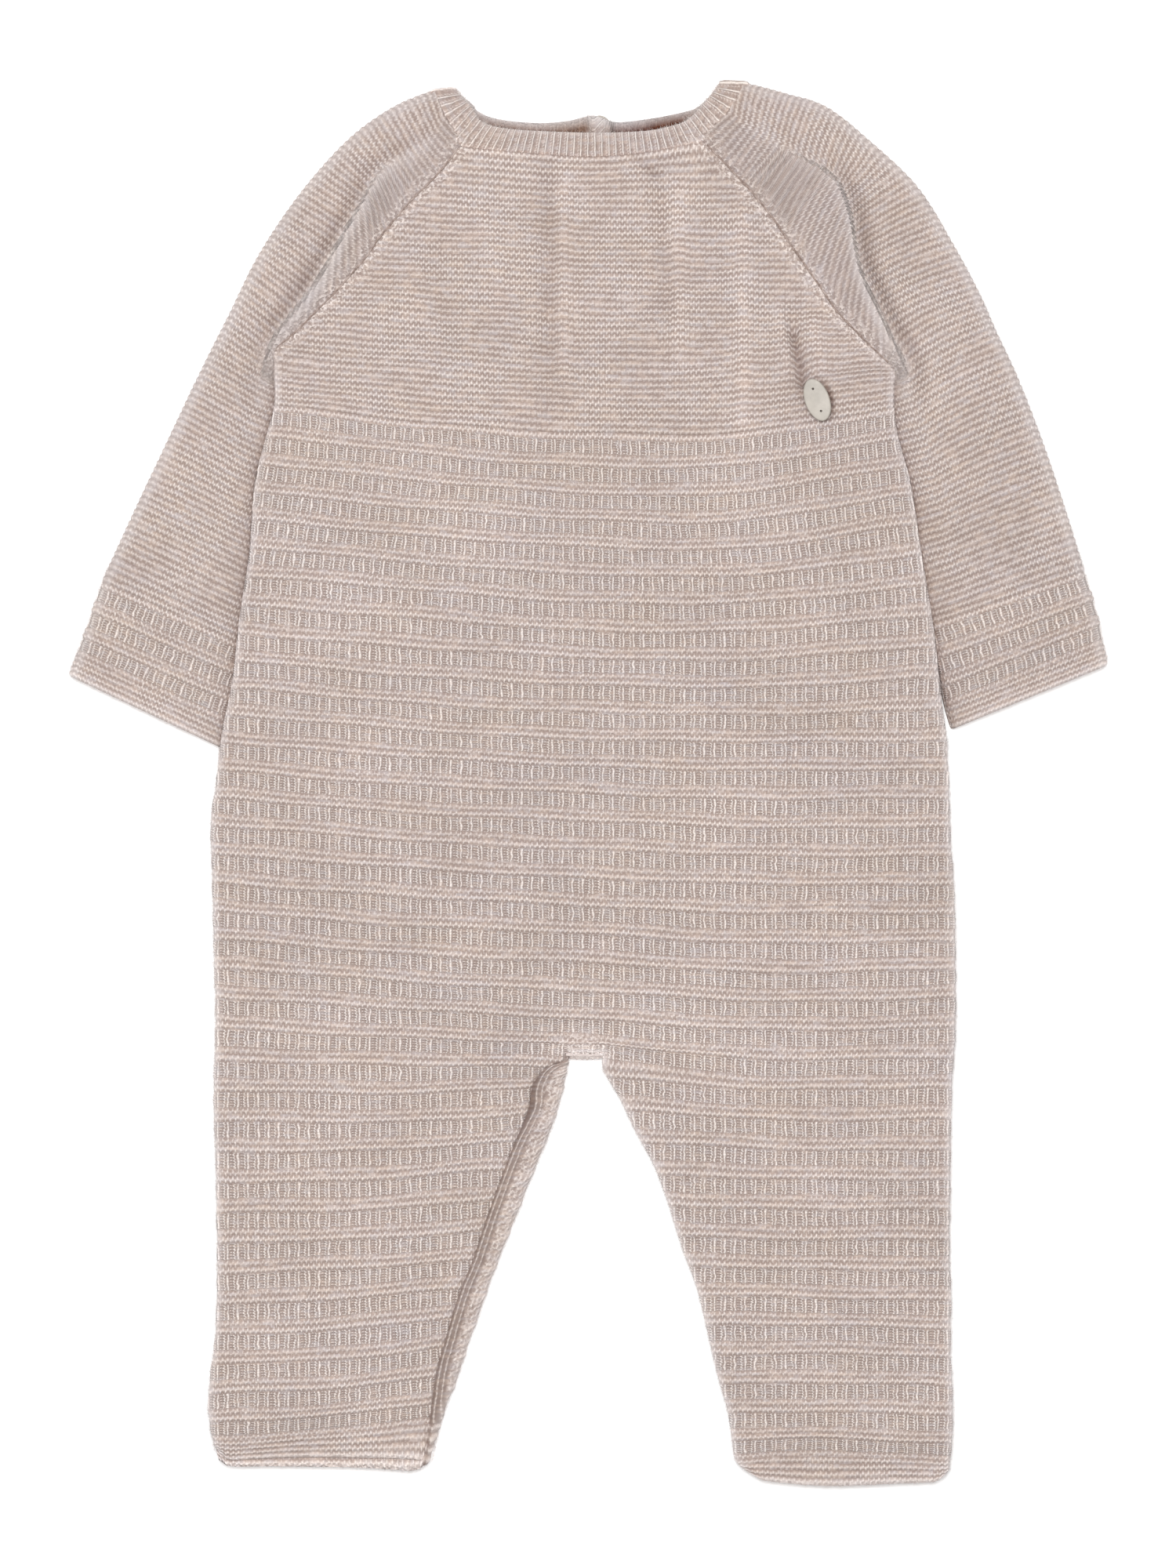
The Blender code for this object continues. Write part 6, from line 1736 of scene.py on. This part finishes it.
def fibre_cones():
    """A row of small cones, one to a metre along X, for the fibres to be drawn out of."""
    bm = bmesh.new()
    bmesh.ops.create_cone(bm, cap_ends=True, cap_tris=False, segments=3, radius1=FIBRE_SPAN / 2,
                          radius2=0.0, depth=FIBRE_SPAN)
    for doubling in range(FIBRE_DOUBLINGS):
        made = bmesh.ops.duplicate(bm, geom=bm.verts[:] + bm.edges[:] + bm.faces[:])
        copies = [item for item in made["geom"] if isinstance(item, bmesh.types.BMVert)]
        bmesh.ops.translate(bm, vec=(2 ** doubling, 0, 0), verts=copies)
    bmesh.ops.recalc_face_normals(bm, faces=bm.faces)
    mesh = mesh_of("edge_fibres", bm)
    bm.free()
    return mesh


def fibre_finish():
    """Pale loose fibre."""
    finish = Finish("loose_fibre")
    tone = finish.noise(finish.body, 800.0, 2.0)
    dark, pale = FIBRE_COLOURS
    finish.give(finish.shader, Base_Color=finish.blend(tone, shaded(dark), shaded(pale)),
                Roughness=finish.scaled(tone, 0.2, 0.7), Specular_IOR_Level=0.1)
    return finish.material


def edge_fibres():
    """The loose fibres of the brushed yarn that stand off every edge, as one mesh."""
    count = 2 ** FIBRE_DOUBLINGS
    rng = np.random.default_rng(11)
    roots, ways = [], []
    for points, out in outline_paths():
        along = np.gradient(points, axis=0)
        way = np.stack([along[:, 1], -along[:, 0], 0 * along[:, 0]], axis=1)
        way = way * np.sign(way[:, :1] * out[0] + way[:, 1:2] * out[1] + 1e-9)
        roots.append(points)
        ways.append(way)
    lengths = [np.linalg.norm(np.diff(points, axis=0), axis=1).sum() for points in roots]
    shares = np.floor(np.array(lengths) / sum(lengths) * count).astype(int)
    shares[-1] += count - shares.sum()
    root, way = np.empty((count, 3)), np.empty((count, 3))
    start = 0
    for points, outward, share in zip(roots, ways, shares):
        spot = rng.uniform(0, len(points) - 1, share)
        for axis in range(3):
            root[start:start + share, axis] = np.interp(spot, np.arange(len(points)), points[:, axis])
            way[start:start + share, axis] = np.interp(spot, np.arange(len(points)), outward[:, axis])
        start += share
    way = unit(way)
    lean = rng.normal(0, 0.75, count)
    turned = unit(np.stack([way[:, 0] * np.cos(lean) - way[:, 1] * np.sin(lean),
                            way[:, 0] * np.sin(lean) + way[:, 1] * np.cos(lean),
                            rng.normal(0, 0.25, count)], axis=1))
    length = FIBRE_LENGTH * rng.uniform(0.25, 1.0, count) ** 1.6
    root = root - 0.25 * way + rng.normal(0, 0.12, (count, 3))
    root[:, 2] = np.maximum(root[:, 2] + rng.uniform(-0.9, 0.5, count), 0.3)
    turned[:, 2] = np.where(root[:, 2] + turned[:, 2] * length < 0.15, 0.0, turned[:, 2])
    beside = unit(np.cross(turned, (0.0, 0.0, 1.0)))
    above = np.cross(turned, beside)

    mesh = fibre_cones()
    grid = numbers_of(mesh.vertices, "co", 3, np.float32).reshape(-1, 3).astype(float)
    number = np.clip(np.rint(grid[:, 0]).astype(int), 0, count - 1)
    grid[:, 0] -= number
    part = grid / FIBRE_SPAN
    points = root[number] + turned[number] * (length[number] * (part[:, 2] + 0.5))[:, None]
    across = beside[number] * (part[:, 0] * FIBRE_WIDTH)[:, None]
    points += across - above[number] * (part[:, 1] * FIBRE_WIDTH)[:, None]
    give_numbers(mesh.vertices, "co", points * MM)
    mesh.update()
    return add_piece("edge_fibres", mesh, [fibre_finish()])


# ---- buttons ------------------------------------------------------------------------------------
def plate(name, size, edge, place, turn, tilt, holes, hole_radius, finish):
    """A rounded oval plate with sunk holes, turned about Z and tilted."""
    bm = bmesh.new()
    bmesh.ops.create_cone(bm, cap_ends=True, cap_tris=False, segments=96, radius1=0.5, radius2=0.5,
                          depth=1.0)
    bmesh.ops.scale(bm, vec=[value * MM for value in size], verts=bm.verts)
    rims = [item for item in bm.edges if abs(item.verts[0].co.z - item.verts[1].co.z) < 1e-7]
    bmesh.ops.bevel(bm, geom=rims, offset=edge * MM, segments=5, profile=0.5, affect="EDGES",
                    material=-1)
    mesh = mesh_of(name, bm)
    made = put(name, mesh)
    cutters = []
    for x in holes:
        bmesh.ops.create_cone(bm, cap_ends=True, cap_tris=False, segments=32, radius1=hole_radius * MM,
                              radius2=hole_radius * MM, depth=8 * MM)
        cutter = put(name + "_cutter", mesh_of(name + "_cutter", bm))
        cutter.location.x = x * MM
        cutters.append(cutter)
        cut = made.modifiers.new("hole", "BOOLEAN")
        cut.operation, cut.solver, cut.object = "DIFFERENCE", "EXACT", cutter
    bm.free()
    cut_mesh = finished_mesh(made)
    made.modifiers.clear()
    made.data = cut_mesh
    bpy.data.meshes.remove(mesh)
    for cutter in cutters:
        bpy.data.meshes.remove(cutter.data)
    spin = Matrix.Rotation(turn, 4, "Z") @ Matrix.Rotation(tilt, 4, "X")
    cut_mesh.transform(Matrix.Translation(Vector(place) * MM) @ spin)
    cut_mesh.shade_smooth()
    cut_mesh.set_sharp_from_angle(angle=math.radians(40))
    cut_mesh.materials.clear()
    cut_mesh.materials.append(finish)
    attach(made, "root")
    return made


# ---- operators ----------------------------------------------------------------------------------
def need(name):
    """Raises an error unless the frame has this node."""
    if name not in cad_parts:
        raise RuntimeError("the frame has no node named " + name)


def declare(made, node):
    """Hides the solid that a piece of cloth stands for; the piece itself is not used."""
    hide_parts(node)


class ROMPER_OT_front(bpy.types.Operator):
    """Builds the front of the romper: yoke, body and both front legs"""

    bl_idname = "romper.front"
    bl_label = "Front"

    def execute(self, context):
        need("front_panel")
        yoke, upper, lower = front_pieces()
        declare(yoke, "front_panel")
        declare(upper, "front_panel")
        declare(lower, "front_panel")
        return {"FINISHED"}


class ROMPER_OT_back(bpy.types.Operator):
    """Builds the back of the romper, and the part of its right leg that has rolled to the front"""

    bl_idname = "romper.back"
    bl_label = "Back"

    def execute(self, context):
        need("back_panel")
        yoke, upper, lower = back_pieces()
        declare(yoke, "back_panel")
        declare(upper, "back_panel")
        declare(lower, "back_panel")
        roll = leg_roll()
        declare(roll, "back_panel")
        return {"FINISHED"}


class ROMPER_OT_sleeves(bpy.types.Operator):
    """Builds both raglan sleeves with their cuffs"""

    bl_idname = "romper.sleeves"
    bl_label = "Sleeves"

    def execute(self, context):
        need("sleeve_right")
        need("sleeve_left")
        right = sleeve("right_sleeve", RIGHT_SLEEVE_ROWS, EDGE_RIGHT, -1)
        left = sleeve("left_sleeve", LEFT_SLEEVE_ROWS, EDGE_LEFT, 1)
        declare(right, "sleeve_right")
        declare(left, "sleeve_left")
        return {"FINISHED"}


class ROMPER_OT_neckband(bpy.types.Operator):
    """Builds the ribbed band round the neck"""

    bl_idname = "romper.neckband"
    bl_label = "Neckband"

    def execute(self, context):
        need("neckband")
        declare(neckband(), "neckband")
        return {"FINISHED"}


class ROMPER_OT_crotch_strip(bpy.types.Operator):
    """Builds the small strip that closes the crotch"""

    bl_idname = "romper.crotch_strip"
    bl_label = "Crotch strip"

    def execute(self, context):
        need("crotch_gusset")
        declare(crotch_strip(), "crotch_gusset")
        return {"FINISHED"}


class ROMPER_OT_seam_yarns(bpy.types.Operator):
    """Lays the dark yarn of both raglan seams, which paints the shade in their grooves"""

    bl_idname = "romper.seam_yarns"
    bl_label = "Seam yarns"

    def execute(self, context):
        need("front_panel")
        for yarn in raglan_yarns():
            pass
        return {"FINISHED"}


class ROMPER_OT_fibres(bpy.types.Operator):
    """Adds the loose fibres along the edges of the cloth"""

    bl_idname = "romper.fibres"
    bl_label = "Fibres"

    def execute(self, context):
        need("front_panel")
        edge_fibres()
        return {"FINISHED"}


class ROMPER_OT_buttons(bpy.types.Operator):
    """Makes the oval button of the front and the round one under the neckband's lap"""

    bl_idname = "romper.buttons"
    bl_label = "Buttons"

    def execute(self, context):
        finish = button_finish("matt_resin", context.scene.romper_yarn.button)
        low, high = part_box("oval_button")
        middle = (BUTTON_X, BUTTON_Y, (low[2] + high[2]) / 2 / MM)
        size = (BUTTON_LENGTH, BUTTON_WIDTH, BUTTON_THICKNESS)
        spread = (-BUTTON_HOLE_SPREAD, BUTTON_HOLE_SPREAD)
        oval = plate("front_oval_plate", size, 0.45, middle, BUTTON_TURN, BUTTON_TILT,
                     spread, 0.42, finish)
        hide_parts("oval_button")
        width = 2 * CLOSING_BUTTON_RADIUS
        low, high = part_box("back_button")
        place = (SLIT_X, CLOSING_BUTTON_Y, (low[2] + high[2]) / 2 / MM)
        closing = plate("closing_button", (width, width, CLOSING_BUTTON_THICKNESS), 0.35, place, 0.0,
                        0.0, (-1.1, 1.1), 0.45, finish)
        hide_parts("back_button")
        return {"FINISHED"}


class ROMPER_OT_stage(bpy.types.Operator):
    """Sets the floor, the soft light and the camera straight above"""

    bl_idname = "romper.stage"
    bl_label = "Stage"

    def execute(self, context):
        look = context.scene.romper_stage
        floor_and_light(look)
        camera_above()
        return {"FINISHED"}


LAMP_PLACE = Vector((-0.10, 0.35, 1.5))     # in metres, as the whole stage is
LAMP_TILT = math.radians(-13)


def floor_and_light(look):
    """A wide pale floor that glows faintly, a large soft lamp and an even surround."""
    bm = bmesh.new()
    bmesh.ops.create_grid(bm, x_segments=1, y_segments=1, size=3.0)
    mesh = mesh_of("floor", bm)
    bm.free()
    finish = Finish("pale_glowing_floor")
    grain = finish.noise(finish.body, 9.0, 3.0)
    # The floor glows faintly, a painted light that lifts the shadows cast on it.
    finish.give(finish.shader, Roughness=0.9, Specular_IOR_Level=0.1, Emission_Strength=0.14,
                Emission_Color=(1.0, 1.0, 1.0, 1.0),
                Base_Color=finish.blend(grain, shaded(look.floor), shaded(look.floor, 1.01)))
    mesh.materials.append(finish.material)
    put("floor", mesh)

    lamp = bpy.data.lights.new("soft_lamp", "AREA")
    lamp.shape = "DISK"
    lamp.size = 1.1
    lamp.energy = look.lamp_power
    holder = put("soft_lamp", lamp)
    holder.matrix_world = Matrix.Translation(LAMP_PLACE) @ Matrix.Rotation(LAMP_TILT, 4, "X")

    world = bpy.data.worlds.new("surround")
    world.use_nodes = True
    background = world.node_tree.nodes["Background"]
    background.inputs["Color"].default_value = (1.0, 0.995, 0.99, 1.0)
    background.inputs["Strength"].default_value = look.surround
    bpy.context.scene.world = world
    bpy.context.scene.view_settings.view_transform = "Standard"


PICTURE_WIDTH, PICTURE_HEIGHT = 1500, 2000
VIEW_WIDTH = 0.400
VIEW_DISTANCE = 3.2
VIEW_CENTRE = (0.0, -0.00053, 0.0045)
SENSOR = 36.0


def camera_above():
    """A long lens straight above the garment, upright to it."""
    data = bpy.data.cameras.new("camera")
    data.type = "PERSP"
    data.sensor_width = SENSOR
    data.lens = SENSOR * VIEW_DISTANCE / (VIEW_WIDTH * PICTURE_HEIGHT / PICTURE_WIDTH)
    data.clip_start, data.clip_end = 0.1, 20.0
    camera = put("camera", data)
    camera.location = (*VIEW_CENTRE[:2], VIEW_CENTRE[2] + VIEW_DISTANCE)
    bpy.context.scene.camera = camera


class ROMPER_PT_panel(bpy.types.Panel):
    """Lists the romper's sizes, colours and pieces"""

    bl_idname = "ROMPER_PT_panel"
    bl_label = "Knitted Romper"
    bl_space_type = "VIEW_3D"
    bl_region_type = "UI"
    bl_category = "Romper"

    def draw(self, context):
        for group, kind in ((context.scene.romper_knit, KnitSizes),
                            (context.scene.romper_yarn, YarnColours),
                            (context.scene.romper_stage, StageLight)):
            for name in kind.__annotations__:
                self.layout.prop(group, name)
        for operator in OPERATORS:
            self.layout.operator(operator.bl_idname)


OPERATORS = (ROMPER_OT_front, ROMPER_OT_back, ROMPER_OT_sleeves, ROMPER_OT_neckband,
             ROMPER_OT_crotch_strip, ROMPER_OT_seam_yarns, ROMPER_OT_fibres,
             ROMPER_OT_buttons, ROMPER_OT_stage)
CLASSES = (KnitSizes, YarnColours, StageLight, *OPERATORS, ROMPER_PT_panel)


def register():
    """Makes the settings, operators and panel known."""
    for item in CLASSES:
        bpy.utils.register_class(item)
    bpy.types.Scene.romper_knit = bpy.props.PointerProperty(type=KnitSizes)
    bpy.types.Scene.romper_yarn = bpy.props.PointerProperty(type=YarnColours)
    bpy.types.Scene.romper_stage = bpy.props.PointerProperty(type=StageLight)


def unregister():
    """Takes them away again."""
    del bpy.types.Scene.romper_knit
    del bpy.types.Scene.romper_yarn
    del bpy.types.Scene.romper_stage
    for item in reversed(CLASSES):
        bpy.utils.unregister_class(item)


def main():
    """Builds every piece."""
    register()
    for operator in OPERATORS:
        group, name = operator.bl_idname.split(".")
        getattr(getattr(bpy.ops, group), name)()


if __name__ == "__main__":
    main()
